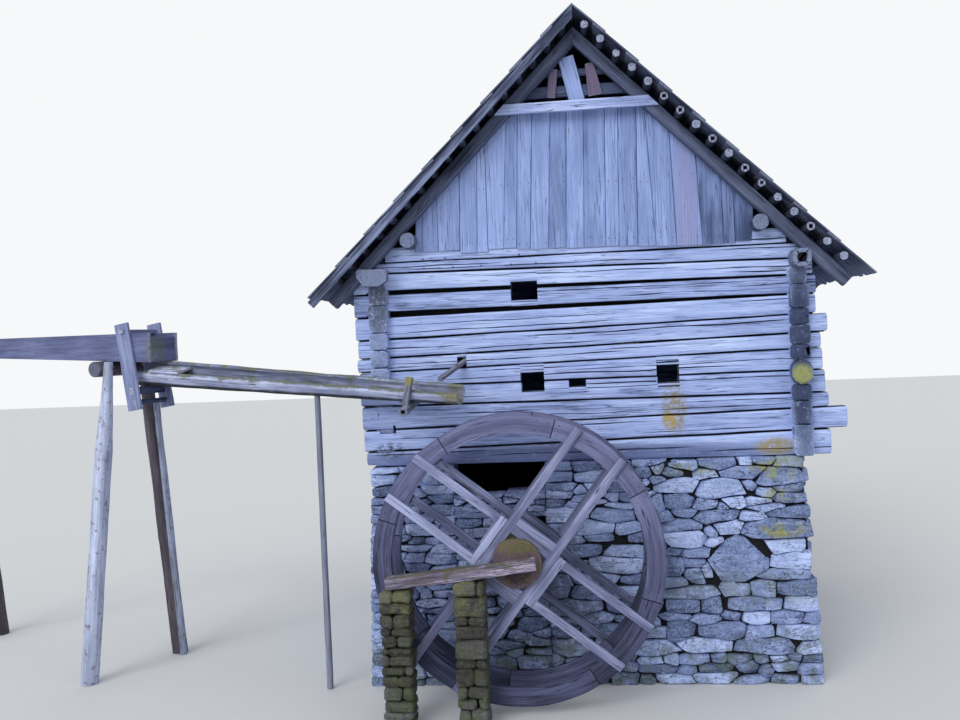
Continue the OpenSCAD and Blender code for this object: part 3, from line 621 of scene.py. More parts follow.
def timber(
    whole, rng, start, end, wide, deep, sides=12, power=7, pitch=0.25, rough=0.004,
    taper=1.0, tone=None, up=(0, 0, 1), hollow=None, cuts=(),
):
    """A straight timber or pole from start to end: wide across it and deep in the direction of up. A
    hollow one has both ends rotted out: hollow gives the rim left standing, the depth and the shade.
    Cuts are planes that it is sawn off at, each by a point and the way that the waste lies."""
    start = Vector(start)
    end = Vector(end)
    run = end - start
    length = run.length
    run.normalize()
    across = run.cross(Vector(up)).normalized()
    rise = across.cross(run)
    seed = rng.uniform(0, 90)
    corners = oblong(sides, power)

    def section(l):
        size = 1 + (taper - 1) * l / length
        size *= 0.955 if l == 0 or l == length else 1
        row = []
        for u, v in corners:
            wander = wave(l * 1.7 + seed, u * 1.5, v * 1.5)
            ripple = wave(l * 8 + seed, u * 5, v * 5)
            off = rough * (wander + 0.5 * ripple)
            row.append(((wide / 2 * size + off) * u, (deep / 2 * size + off) * v))
        return row

    def place(l, a, b):
        return start + run * l + across * a + rise * b

    tone = rng.uniform(-1, 1) if tone is None else tone
    shape = stick(along_bar(0, length, max(1, round(length / pitch))), section, place, tone, seed)
    if hollow:
        rim, pit, shade = hollow
        shape.normal_update()
        caps = [f for f in shape.faces if len(f.verts) == sides]
        dark = shape.verts.layers.float["cut"]
        for width in (rim, PIT_SLOPE):
            bmesh.ops.inset_individual(shape, faces=caps, thickness=width)
        for cap in caps:
            inward = -pit if (cap.calc_center_median() - start).dot(run) > length / 2 else pit
            bmesh.ops.translate(shape, verts=cap.verts[:], vec=run * inward)
            for corner in cap.verts:
                corner[dark] = shade
    for point, normal in cuts:
        cut_off(shape, point, normal)
    gather(whole, shape)


def weathered_wood(
    name, pale, mid, dark, cut_pale, along=None, moss=0.0, moss_colour=MOSS_GREEN, checks=1.0, spots=0.0,
    streaks=1.0, blotch=None, stains_and_shade=(),
):
    """Old softwood: fibres and bands along the grain, checks, weathered patches and cut ends. A node
    carried over has no grain of its own, so along names the axis that its grain follows. Marks are
    stains or painted shade at one place: centre, reach, colour and the share that they cover."""
    finish = Finish(name)
    place = finish.place()
    if along is None:
        grain = finish.mark("grain", 1)
    else:
        turned = (0, math.radians(90) if along == "Z" else 0, 0)
        grain = finish.node("Mapping", sockets={"Vector": place, "Rotation": turned})
    tone = finish.mark("tone")
    cut = finish.mark("cut")
    bands = finish.mottle(finish.stretch(grain, 0.5, 16, 16), 1, 4, 0.6)
    fibres = finish.mottle(finish.stretch(grain, 3.0, 90, 90), 1, 4, 0.65)
    patches = finish.mottle(finish.stretch(grain, 1.3, 5, 5), 1, 3, 0.6)
    lines = finish.mottle(finish.stretch(grain, 0.9, 34, 34), 1, 2, 0.4)
    light = (bands * 0.70 + fibres * 0.70 - 0.70) * streaks + patches * 0.75 + tone * 0.11 + 0.125
    colour = finish.mix(light.step(0.10, 0.48), dark, mid)
    colour = finish.mix(light.step(0.40, 0.82), colour, pale)
    # The checks are painted dark along their lines: painted shade inside the cracks.
    slits = (1 - abs(lines - 0.5).step(0.0, 0.020)) * patches.step(0.36, 0.58) * checks
    colour = finish.mix(slits * 0.85, colour, CHECK_SHADE)
    rings = finish.mottle(place, 40, 4, 0.7).step(0.35, 0.62) * 0.55 + 0.35
    colour = finish.mix(cut.step(0.3, 0.9) * rings, colour, cut_pale)
    # Corners marked below 0 are painted dark: rotted hollows, and painted shade in joints and checks.
    colour = finish.mix((0 - cut).step(0.1, 0.8), colour, ROT_AND_SHADE_DARK)
    if spots:
        colour = finish.mix(finish.mottle(place, 13, 5, 0.75).step(0.58, 0.7) * spots, colour, LICHEN_PALE)
    if blotch:
        colour = finish.mix(finish.mottle(place, 16, 4, 0.7).step(0.55, 0.66) * 0.8, colour, blotch)
    for centre, reach, shade, strength in stains_and_shade:
        broken = finish.mottle(place, 18, 5, 0.75).step(0.62 - 0.4 * strength, 0.80 - 0.4 * strength)
        colour = finish.mix(near_point(finish, place, centre, reach) * broken * 0.9, colour, shade)
    if moss:
        normal = finish.node("NewGeometry", out=1)
        up = finish.node("SeparateXYZ", sockets={0: normal}, out=2)
        tufts = finish.mottle(place, 9, 6, 0.7) + up * 0.12 - tone * 0.016
        colour = finish.mix(tufts.step(0.60 - 0.2 * moss, 0.78 - 0.2 * moss) * 0.85, colour, moss_colour)
    finish.put("Base Color", colour)
    finish.put("Roughness", 0.92 - fibres * 0.18)
    finish.put("Specular IOR Level", 0.25)
    finish.relief(fibres * 0.5 + bands * 0.35 - slits * 0.6, 0.006, 0.9)
    return finish


def checked_log(whole, rng, ends, low, high, place, tone, thick=LOG_THICK, ease=(True, True), under=None):
    """A hewn log with rounded arrises: ends are (from, to), low(l) and high(l) its bed and top. Its
    outer face has up to three long checks, opened as grooves in the shape. Where under(l) is given,
    the log's rear half reaches down to it and closes the joint."""
    seed = rng.uniform(0, 90)
    length = ends[1] - ends[0]
    checks = []
    for share in CHECK_SHARES:
        begin = rng.uniform(-3.0, 1.6)
        checks.append((
            share + rng.uniform(-0.07, 0.07), begin, begin + rng.uniform(0.9, 3.4),
            rng.uniform(0.005, 0.011), rng.uniform(0.022, 0.045),
        ))
    stations = along_bar(*ends, max(2, round(length / LOG_PITCH)), 0.008)

    def section(l):
        sag = 0.006 * wave(l * 1.1 + seed, 3, 0)
        bottom = low(l) + sag
        top = high(l) + 0.006 * wave(l * 1.3 + seed, 9, 0)
        tall = top - bottom
        arris = min(0.026, tall * 0.2) * (1 + 0.4 * wave(l * 2.1 + seed, 5, 0))
        back = thick
        front = []
        for share, begin, stop, half, depth in checks:
            level = bottom + tall * share + 0.014 * wave(l * 1.6 + seed, share * 9, 0)
            open_share = max(0.0, min(1.0, (l - begin) / 0.35, (stop - l) / 0.35)) ** 0.6
            open_share *= 0.75 + 0.6 * wave(l * 3.1 + seed, share * 7, 4)
            half = max(half * open_share, 0.0008)
            depth = depth * open_share
            front += [(0, level - half), (depth, level), (0, level + half)]
        rows = [(arris, bottom), (arris * 0.3, bottom + arris * 0.3), (0, bottom + arris)]
        rows += front
        rows += [(0, top - arris), (arris * 0.3, top - arris * 0.3), (arris, top)]
        rows += [(back - arris, top), (back, top - arris)]
        seal = under(l) if under else bottom
        rows += [(back, seal + arris), (back - arris, seal), (back * 0.75, seal), (back * 0.7, bottom)]
        made = []
        pinch = 0.012 if (l == ends[0] and ease[0]) or (l == ends[1] and ease[1]) else 0.0
        middle = (bottom + top) / 2
        for d, h in rows:
            swell = 0.007 * wave(l * 1.5 + seed, h * 5, 1)
            hewn = 0.004 * wave(l * 7 + seed, h * 16, 2)
            facing = 1 if d < thick / 2 else -1
            made.append((d + facing * (swell + hewn + pinch), h + math.copysign(pinch, middle - h)))
        return made

    shape = stick(stations, section, place, tone, seed, (float(ease[0]), float(ease[1])))
    depth = shape.verts.layers.float_vector["grain"]
    dark = shape.verts.layers.float["cut"]
    # Corners deep in the checks and in the joints behind the face are marked -1 and painted dark: painted
    # shade.
    for corner in shape.verts:
        if corner[dark] < 0.5 and 0.017 < corner[depth][1] < thick - 0.03:
            corner[dark] = -1.0
    gather(whole, shape)


def bed_line(level, rise=0):
    """The line of a bed: its level at the left inner corner and its rise to the right one."""
    return lambda l: level + rise * (l + ROOM_HALF) / (2 * ROOM_HALF)


def gable_wall(whole, rng, holes, place, open_joints=1.0):
    """The logs of a gable wall from the sill to the eaves, cut at its holes."""
    left_bed = right_bed = BASE_HIGH
    for i, (left_high, right_high) in enumerate(zip(LEFT_COURSES, RIGHT_COURSES)):
        low_left = left_bed + LEFT_GAPS[i] * open_joints
        low_right = right_bed + RIGHT_GAPS[i] * open_joints
        left_bed += left_high
        right_bed += right_high
        under = bed_line(left_bed - left_high, right_bed - left_bed - right_high + left_high)
        gap = bed_line(low_left, low_right - low_left)
        low = lambda l, g=gap, b=under: g(l) if l > -WALL_OUT else b(l) + 0.012
        high = bed_line(left_bed, right_bed - left_bed)
        tone = rng.uniform(-1, 1)
        seed = rng.randrange(10**6)
        reach = -LEFT_ENDS[i]
        spans = []
        for a, b, bottom, top in sorted(holes):
            if bottom > high(a) - 0.02 or top < low(a) + 0.02:
                continue
            spans.append((reach, a, low, high, under))
            if bottom > low(a) + 0.03:
                spans.append((a, b, low, bed_line(bottom), under))
            if top < high(a) - 0.03:
                spans.append((a, b, bed_line(top), high, None))
            reach = b
        spans.append((reach, RIGHT_ENDS[i], low, high, under))
        for a, b, lower, upper, seal in spans:
            ease = (a == -LEFT_ENDS[i], b == RIGHT_ENDS[i])
            checked_log(whole, random.Random(seed), (a, b), lower, upper, place, tone, ease=ease, under=seal)


def side_wall(whole, rng, heights, ends, place):
    """The level logs of a side wall, halved over the gable logs. Their ends stand before the face, or
    stop behind it where the gable logs hide them."""
    bed = BASE_HIGH
    beds = []
    for i, share in enumerate(LAP_SHARES):
        beds.append(PLATE_SEAT if i == len(ends) else bed + share * heights[i])
        bed += heights[i]
    for i, out in enumerate(ends):
        low = beds[i] + (0.01 if i else 0)
        high = beds[i + 1]
        run = (-out, HOUSE_LONG + max(out, BACK_ENDS))
        checked_log(whole, rng, run, bed_line(low), bed_line(high), place, rng.uniform(-1, 1))


silver_log = weathered_wood(
    "silver_log", LOG_PALE, LOG_MID, LOG_DARK, CUT_PALE, checks=0.8, spots=0.10,
    stains_and_shade=[
        ((-0.4, 0, 2.44), (3.4, 0.3, 0.15), (92, 104, 146), 0.9),
        ((0.91, 0, 2.90), (0.17, 0.2, 0.36), (138, 130, 104), 0.58),
        ((0.86, 0, 2.78), (0.10, 0.2, 0.12), (168, 146, 84), 0.75),
        ((1.94, 0, 2.47), (0.28, 0.2, 0.12), (150, 140, 96), 0.7),
        ((-2.15, 0, 2.54), (0.20, 0.2, 0.12), (62, 66, 80), 0.5),
    ],
)
side_log = weathered_wood(
    "side_log", LOG_PALE, LOG_MID, LOG_DARK, (120, 132, 166), checks=0.8, spots=0.10,
    stains_and_shade=[
        # Painted shade: the ends of the right column are darkened all the way up, and those of the left
        # column near the eave. The last mark is lichen.
        ((2.2, -0.1, 3.50), (0.20, 0.14, 1.4), (44, 54, 82), 0.9),
        ((-2.2, -0.1, 4.2), (0.20, 0.13, 0.5), (78, 86, 104), 0.7),
        ((2.2, -0.15, 3.22), (0.15, 0.05, 0.14), (150, 156, 98), 0.75),
    ],
)
rng = random.Random(23)
front_logs = new_shape()
gable_wall(front_logs, rng, FRONT_HOLES, lambda l, d, h: Vector((l, d, h)))
set_piece(
    "front_logs", front_logs, silver_log, "silver_log",
    "front_log_wall", "lower_window_log", "upper_window_log",
)
back_logs = new_shape()
gable_wall(
    back_logs, rng, [DOOR_SIDES + (DOOR_LOW, DOOR_HIGH)], lambda l, d, h: Vector((l, HOUSE_LONG - d, h)), 0.0
)
set_piece("back_logs", back_logs, silver_log, "silver_log", "back_log_wall")
left_logs = new_shape()
side_wall(left_logs, rng, LEFT_COURSES, LEFT_SIDE_ENDS, lambda l, d, h: Vector((d - WALL_OUT, l, h)))
set_piece("left_logs", left_logs, side_log, "silver_log", "left_log_wall")
right_logs = new_shape()
side_wall(right_logs, rng, RIGHT_COURSES, RIGHT_SIDE_ENDS, lambda l, d, h: Vector((WALL_OUT - d, l, h)))
# One log of the right wall was left round, and its end shows at the front corner
ROUND_LOW = BASE_HIGH + sum(RIGHT_COURSES[:3]) + LAP_SHARES[3] * RIGHT_COURSES[3] + 0.01
ROUND_HIGH = BASE_HIGH + sum(RIGHT_COURSES[:4]) + LAP_SHARES[4] * RIGHT_COURSES[4]
ROUND_SIZE = ROUND_HIGH - ROUND_LOW + 0.01
ROUND_X = 2.205
round_z = (ROUND_LOW + ROUND_HIGH) / 2
timber(
    right_logs, rng, (ROUND_X, -0.158, round_z), (ROUND_X, -0.002, round_z), ROUND_SIZE * 0.86, ROUND_SIZE,
    sides=22, power=2.1, pitch=0.04, rough=0.008, tone=0.4,
)
set_piece("right_logs", right_logs, side_log, "silver_log", "right_log_wall")

# The gable is closed with upright boards nailed over the top log, each as wide as its tree gave. The
# collar beam of the front rafters hides their tops, and three loose boards hang under the ridge.
# Joints between the boards: place at the foot, place 1.45 m higher up, height of the foot
BOARD_JOINTS = [
    (-1.778, -1.716, 4.680), (-1.698, -1.659, 4.676), (-1.524, -1.514, 4.678), (-1.291, -1.248, 4.644),
    (-1.105, -1.057, 4.645), (-0.988, -0.982, 4.671), (-0.824, -0.738, 4.674), (-0.682, -0.616, 4.656),
    (-0.537, -0.465, 4.648), (-0.343, -0.274, 4.649), (-0.157, -0.099, 4.639), (0.032, 0.079, 4.640),
    (0.259, 0.300, 4.639), (0.400, 0.435, 4.632), (0.594, 0.625, 4.622), (0.785, 0.711, 4.612),
    (0.997, 0.952, 4.605), (1.263, 1.202, 4.598), (1.478, 1.463, 4.607), (1.597, 1.581, 4.622),
    (1.759, 1.906, 4.624),
]
# How pale each board is, from the left. Besides each board's own tone this holds painted light and
# shade: the fourth to the seventh boards are painted lighter, and the last three darker, as the shadow
# of the right eave.
BOARD_TONES_AND_SHADING = (
    -0.2, 0.5, 1.0, 0.9, 2.0, 1.8, 0.6, 0.5, 0.8, -0.6, 1.0, 0.0, 0.8, -0.2, 0.6, 0.3, 0.6, -1.4, -2.2, -2.0,
)
BOARD_THICK = 0.026
BOARD_HEAD = 6.13
BOARD_LIFT = 1.45
NAIL_LEVEL = 5.32
RAFTER_TOP = 6.933
RAFTER_UNDER = 6.742


def between(start, end, share):
    return start + (end - start) * share


def nail(whole, point, out, size=0.005):
    """The rusty head of a nail."""
    shape = new_shape()
    turn = Vector((0, 0, 1)).rotation_difference(Vector(out)).to_matrix().to_4x4()
    bmesh.ops.create_cone(
        shape, cap_ends=True, segments=6, radius1=size, radius2=size * 0.7, depth=0.006,
        matrix=Matrix.Translation(point) @ turn,
    )
    gather(whole, shape)


def board_wall(whole, nails, rng, place, out):
    """Upright boards side by side, cut along the rafters."""
    for i, (left, right) in enumerate(zip(BOARD_JOINTS, BOARD_JOINTS[1:])):
        foot = left[2]
        high = min(BOARD_HEAD, RAFTER_UNDER + 0.1 - min(abs(left[0]), abs(right[0]))) - foot
        proud = rng.uniform(-0.004, 0.004)
        gap = rng.uniform(0.003, 0.0075)
        seed = rng.uniform(0, 90)
        dish = rng.uniform(-0.004, 0.004)

        def section(l, left=left, right=right, seed=seed, dish=dish, proud=proud, gap=gap):
            share = l / BOARD_LIFT
            low = between(*left[:2], share) + gap + 0.004 * wave(l * 3 + seed, 1, 0)
            far = between(*right[:2], share) - gap + 0.004 * wave(l * 3 + seed, 6, 0)
            row = []
            for k in range(5):
                a = low + (far - low) * k / 4
                worn = 0.003 if k in (0, 4) else dish * (1 if k == 2 else 0.6)
                worn += 0.002 * wave(l * 2 + seed, a * 20, 3)
                row.append((a, -BOARD_THICK - proud + worn))
            row += [(far + 2 * gap, -0.002), (low - gap, -0.002)]
            return row

        tone = BOARD_TONES_AND_SHADING[i] + rng.uniform(-0.1, 0.1)
        stations = along_bar(0, high, round(high / 0.12), 0.004)
        shape = stick(stations, section, lambda l, a, b, z=foot: place(a, b, z + l), tone, seed)
        for side in (-1, 1):
            cut_off(shape, place(0, 0, RAFTER_UNDER + 0.1), Vector((side, 0, 1)).normalized())
        gather(whole, shape)
        for level in (foot + rng.uniform(0.05, 0.1), NAIL_LEVEL + rng.uniform(-0.03, 0.03)):
            share = (level - foot) / BOARD_LIFT
            low = between(*left[:2], share)
            far = between(*right[:2], share)
            for t in (0.25, 0.78):
                a = between(low, far, t + rng.uniform(-0.08, 0.08))
                if abs(a) < RAFTER_UNDER + 0.05 - level:
                    nail(nails, place(a, -BOARD_THICK - proud - 0.001, level), out)


rng = random.Random(5)
silver_board = weathered_wood(
    "silver_board", (156, 176, 230), (123, 142, 191), (68, 80, 114), CUT_PALE, streaks=0.6, checks=0.7,
    stains_and_shade=[
        # Painted shadow of the right eave on the low boards at the right. The mark after it is one board's
        # own mauve colour.
        ((1.95, 0, 4.65), (0.45, 0.3, 0.45), (60, 72, 104), 0.95),
        ((1.10, 0, 5.0), (0.15, 0.3, 1.2), (140, 146, 192), 0.85),
    ],
)
rusty_iron = Finish("rusty_iron")
iron_flakes = rusty_iron.mottle(rusty_iron.place(), 60, 4, 0.7)
rusty_iron.put("Base Color", rusty_iron.mix(iron_flakes.step(0.35, 0.65), (38, 38, 46), (86, 58, 46)))
rusty_iron.put("Roughness", 0.75 + iron_flakes * 0.2)
rusty_iron.put("Metallic", 0.4)
rusty_iron.relief(iron_flakes, 0.002)

gable_nails = new_shape()
front_boards = new_shape()
board_wall(front_boards, gable_nails, rng, lambda a, b, z: Vector((a, b, z)), (0, -1, 0))
set_piece("front_boards", front_boards, silver_board, "silver_board", "front_gable_boards")
back_boards = new_shape()
board_wall(back_boards, gable_nails, rng, lambda a, b, z: Vector((-a, HOUSE_LONG - b, z)), (0, 1, 0))
set_piece("back_boards", back_boards, silver_board, "silver_board", "back_gable_boards")

# Two rough rails close each gable above its boards, in the shade of the roof. They are nailed to the
# rafters. Each is given by its height, half its length and its depth.
RAILS = ((6.29, 0.6, 0.115), (6.48, 0.42, 0.075))
RAIL_THICK = 0.038
RAIL_Y = -0.010

rails = new_shape()
for middle in (RAIL_Y, HOUSE_LONG - RAIL_Y):
    for level, half, deep in RAILS:
        timber(rails, rng, (-half, middle, level), (half, middle, level), RAIL_THICK, deep, power=8)
shaded_board = weathered_wood(
    "shaded_board", (104, 116, 150), (70, 80, 108), (34, 40, 56), CUT_PALE, streaks=0.7
)
set_piece("rails", rails, shaded_board, "silver_board", "gable_rails")

# A collar beam ties each outer pair of rafters and covers the tops of the boards. It is sawn square, and
# nailed. Spikes of the same kind stick in the two uppermost long logs.
COLLAR_LOW = 6.05
COLLAR_HIGH = 6.162
COLLAR_REACH = 0.855
COLLAR_OUT = 0.15
COLLAR_THICK = 0.058
COLLAR_NAILS = (-0.70, -0.62, -0.31, -0.05, 0.22, 0.48, 0.66, 0.74)
SPIKES = ((4.60, (-1.699, -1.459, -0.662)), (4.50, (-1.692, -1.377, -1.073, -0.751, -0.485)))

silver_beam = weathered_wood("silver_beam", (196, 212, 254), (146, 162, 212), (70, 82, 116), CUT_PALE)
collars = new_shape()
mitres = [
    (Vector((side * COLLAR_REACH, 0, COLLAR_LOW)), Vector((side, 0, 1)).normalized()) for side in (-1, 1)
]
for middle, out in ((-COLLAR_OUT, -1), (HOUSE_LONG + COLLAR_OUT, 1)):
    level = (COLLAR_LOW + COLLAR_HIGH) / 2
    timber(
        collars, rng, (-0.9, middle, level), (0.9, middle, level), COLLAR_THICK,
        COLLAR_HIGH - COLLAR_LOW - 0.004, sides=16, power=8, pitch=0.1, tone=0.6, cuts=mitres,
    )
    for a in COLLAR_NAILS:
        nail(gable_nails, Vector((a, middle + out * 0.031, level + rng.uniform(-0.03, 0.03))), (0, out, 0))
set_piece("collars", collars, silver_beam, "silver_board", "collar_beams")
for z, run in SPIKES:
    for a in run:
        nail(gable_nails, Vector((a, -0.006, z)), (0, -1, 0), 0.009)
set_piece("gable_nails", gable_nails, rusty_iron, "silver_board")

# The three loose boards under the ridge hang before the rails: two of red brown heartwood, and between
# them a wide grey one that leans. Each is given by its mesh, its foot and head, along and up, its width,
# its taper and its tone.
loose = new_shape()
wide_board = new_shape()
LOOSE_BOARDS = (
    (loose, (-0.252, 6.225), (-0.218, 6.52), 0.09, 1.0, 2.0),
    (loose, (0.212, 6.225), (0.158, 6.56), 0.15, 0.6, 2.0),
    (wide_board, (0.022, 6.17), (-0.085, 6.64), 0.165, 1.0, 1.6),
)
LOOSE_Y = -0.045
LOOSE_THICK = 0.024

red_board = weathered_wood("red_board", (112, 103, 128), (80, 74, 96), (42, 38, 52), CUT_PALE, streaks=0.6)
for shape, (foot_x, foot_z), (head_x, head_z), wide, taper, tone in LOOSE_BOARDS:
    timber(
        shape, rng, (foot_x, LOOSE_Y, foot_z), (head_x, LOOSE_Y, head_z), wide, LOOSE_THICK, power=8,
        taper=taper, tone=tone, up=(0, 1, 0),
    )
set_piece("loose_boards", loose, red_board, "red_board", "loose_gable_boards")
set_piece("wide_loose_board", wide_board, silver_board, "silver_board")

# The roof frame: round plates and purlins that run the length of the house, and five pairs of hewn
# rafters halved at the ridge. Its ends stand before the gable and are weathered pale.
ROOF_SPAN = 2.64
RAFTER_DEEP = 0.135
RAFTER_WIDE = 0.12
RIDGE = Vector((0, 0, 0))
PLATE_SIZE = 0.195
PLATE_OUT = 0.25
PLATE_PIT = (0.040, 0.02, -0.8)
HEAD_SIZE = (0.335, 0.186)
PURLIN_SIZE = 0.165
PURLIN_OUT = 0.20
RAFTER_STARTS = (-0.15, 1.19, 2.34, 3.49, HOUSE_LONG + 0.15 - RAFTER_WIDE)
PLATE_X = 2.22
PLATE_Z = 4.41
PURLIN_X = 1.83
PURLIN_Z = RAFTER_UNDER - PURLIN_X - 0.085 * math.sqrt(2)


def pole(whole, rng, start, end, size, **more):
    """A round timber."""
    timber(whole, rng, start, end, size, size, power=2, **more)


roof_timber = weathered_wood("roof_timber", (128, 136, 164), (84, 92, 118), (40, 46, 62), (126, 138, 170))
plates = new_shape()
purlins = new_shape()
for side in (-1, 1):
    x = side * PLATE_X
    timber(
        plates, rng, (x, -PLATE_OUT if side > 0 else -0.2, PLATE_Z), (x, HOUSE_LONG + PLATE_OUT, PLATE_Z),
        PLATE_SIZE, PLATE_SIZE, sides=22, power=2.3, rough=0.008, hollow=PLATE_PIT if side > 0 else None,
    )
    x = side * PURLIN_X
    ends = (x, -PURLIN_OUT, PURLIN_Z), (x, HOUSE_LONG + PURLIN_OUT, PURLIN_Z)
    pole(purlins, rng, *ends, PURLIN_SIZE, sides=20, rough=0.006)
# The left plate's end is hewn into a wide head with slanting sides
timber(
    plates, rng, (-PLATE_X, -PLATE_OUT, PLATE_Z + 0.002), (-PLATE_X, -0.157, PLATE_Z + 0.002), *HEAD_SIZE,
    sides=24, power=9, pitch=0.03, rough=0.008, tone=0.6,
    cuts=[
        (Vector((-PLATE_X + side * 0.10, 0, PLATE_Z - 0.075)), Vector((side, 0, -slant)).normalized())
        for side, slant in ((-1, 0.75), (1, 1.6))
    ],
)
set_piece("plates", plates, roof_timber, "roof_timber", "eave_plates")
set_piece("purlins", purlins, roof_timber, "roof_timber", "upper_purlins")

for name, side in (("left", -1), ("right", 1)):
    rafters = new_shape()
    middle_z = (RAFTER_TOP + RAFTER_UNDER) / 2
    for start in RAFTER_STARTS:
        y = start + RAFTER_WIDE / 2
        foot = ROOF_SPAN + RAFTER_DEEP / 2 * math.sqrt(0.5)
        timber(
            rafters, rng, (-side * 0.1, y, middle_z + 0.1), (side * foot, y, middle_z - foot),
            RAFTER_WIDE - 0.004, RAFTER_DEEP - 0.004, sides=16, power=5, rough=0.006,
            cuts=[(RIDGE, Vector((-side, 0, 0)))],
        )
    set_piece(name + "_rafter_row", rafters, roof_timber, "roof_timber", name + "_rafters")

# The covering: peeled poles laid across the rafters, and split shakes in nine courses over them, held
# at the gable by a verge board. The poles' ends show under the shakes.
SLOPE_LONG = 4.073
VERGE_OUT = 0.35
RIDGE_TOP = 7.12
COURSES = 9
SHAKE_THICK = 0.016
SHAKE_LAP = 0.168
BUTT_LIFT = 0.020
POLE_SIZE = 0.094
POLE_FIRST = 0.12
POLE_STEP = 0.155
POLES = 17
POLE_PIT = (0.020, 0.012, -0.7)
ROTTED_SHARE = 0.3

poles = new_shape()
for side in (-1, 1):
    for k in range(POLES):
        x = POLE_FIRST + k * POLE_STEP
        size = POLE_SIZE * rng.uniform(0.84, 0.99)
        z = RAFTER_TOP + size / 2 * math.sqrt(2) - x
        pole(
            poles, rng, (side * x, -VERGE_OUT + rng.uniform(0, 0.012), z),
            (side * x, HOUSE_LONG + VERGE_OUT - rng.uniform(0, 0.012), z), size,
            sides=14, pitch=0.7, rough=0.003, hollow=POLE_PIT if rng.random() < ROTTED_SHARE else None,
        )
# The poles' sides are painted dark as the shade under the shakes. Their cut ends are pale.
shaded_roof_pole = weathered_wood("shaded_roof_pole", (70, 78, 100), (44, 50, 66), (20, 23, 31), (166, 174, 204))
set_piece("poles", poles, shaded_roof_pole, "roof_timber", "roof_battens")


def shake_slope(whole, rng, side):
    """Courses of split shakes from the ridge to the eave on one slope. s runs down the slope."""
    step = SLOPE_LONG / COURSES
    first = -VERGE_OUT - 0.03
    last = HOUSE_LONG + VERGE_OUT + 0.03
    for course in range(COURSES):
        y = first
        while y < last - 0.02:
            wide = min(rng.uniform(0.085, 0.15), last - y)
            top = course * step - (SHAKE_LAP if course else 0.05)
            butt = (course + 1) * step - (0 if course == COURSES - 1 else rng.uniform(0, 0.02))
            butt -= rng.uniform(0, 0.025) if course == COURSES - 1 else 0
            gap = rng.uniform(0.001, 0.004)
            lift = rng.uniform(0, 0.002)
            twist = rng.uniform(-0.002, 0.002)

            def place(l, a, b, top=top, butt=butt, y=y, wide=wide, lift=lift, twist=twist):
                s = top + l
                under = BUTT_LIFT * (s - top) / (butt - top) + 0.0005
                h = under + b + (lift + twist * a / wide) * l
                x = (s + h) * math.sqrt(0.5)
                drop = (s - h) * math.sqrt(0.5)
                return Vector((side * x, y + a, RIDGE_TOP - 0.038 * math.sqrt(2) - drop))

            thick = SHAKE_THICK * rng.uniform(0.85, 1.0)
            corners = [(gap, 0), (wide - gap, 0), (wide - gap, thick), (wide * 0.5, thick), (gap, thick)]
            length = butt - top
            tone = rng.uniform(-1, 1)
            shape = stick([0, length * 0.5, length], lambda l: corners, place, tone, rng.uniform(0, 90))
            if course == 0:
                cut_off(shape, RIDGE, Vector((-side, 0, 0)))
            gather(whole, shape)
            y += wide


roof_shake = weathered_wood("roof_shake", (124, 134, 164), (70, 80, 104), (32, 40, 56), (120, 128, 150))
for name, side in (("left", -1), ("right", 1)):
    shakes = new_shape()
    shake_slope(shakes, rng, side)
    set_piece(name + "_shakes", shakes, roof_shake, "roof_shake", name + "_roof_shakes")

# The verge boards run up both slopes before the ends of the poles and hold the edge of the shakes. They
# are sawn thin, halved at the ridge and nailed.
VERGE_DEEP = 0.088
VERGE_THICK = 0.022
VERGE_OFF = 0.3625
VERGE_FOOT = 2.86

verge = new_shape()
verge_z = RIDGE_TOP - 0.0385 * math.sqrt(2) - VERGE_DEEP / 2 * math.sqrt(2)
for y, side in ((-VERGE_OFF, -1), (HOUSE_LONG + VERGE_OFF, -1), (HOUSE_LONG + VERGE_OFF, 1)):
    timber(
        verge, rng, (-side * 0.06, y, verge_z + 0.06), (side * VERGE_FOOT, y, verge_z - VERGE_FOOT),
        VERGE_THICK, VERGE_DEEP, power=9, tone=0.4, cuts=[(RIDGE, Vector((-side, 0, 0)))],
    )
verge_board = weathered_wood("verge_board", (136, 148, 186), (56, 64, 84), (22, 28, 40), CUT_PALE)
set_piece("verge", verge, verge_board, "roof_shake", "verge_boards")

# The wheel: two rings, each of eight felloes in two layers, nailed to two crossed pairs of arms that
# clasp the shaft. Its buckets are gone. The shaft is a whole log, rotten and mossy at its end.
WHEEL_X = -0.741
WHEEL_Z = 1.52
WHEEL_OUT = 1.44
WHEEL_IN = 1.255
RING_THICK = 0.05
RING_FRONTS = (-0.925, -0.425)
FELLOE_JOINTS = (28, 73, 121, 162, 208, 253, 302, 342.5)
LAP_TURN = 10
ARM_WIDE = 0.09
ARM_THICK = 0.05
ARM_TURN = 37.5
ARM_STEP = 0.03
LONG_ARMS = (-0.24, 0.24)
CROSS_ARMS = (-0.25, 0.265)
STIFFENER = 0.086
STIFFENER_HALF = 0.285
# Nails in the rings: degrees past each joint, and distances from the axis
RING_NAILS = ((3, 7, -3), (1.30, 1.395))
SHAFT_SIZE = 0.50
SHAFT_RUN = (-1.02, 0.88)
GUDGEON_RUN = (-1.20, 1.12)
GUDGEON_SIZE = 0.059


def on_wheel(turn, r, y):
    return Vector((WHEEL_X + r * math.cos(turn), y, WHEEL_Z + r * math.sin(turn)))


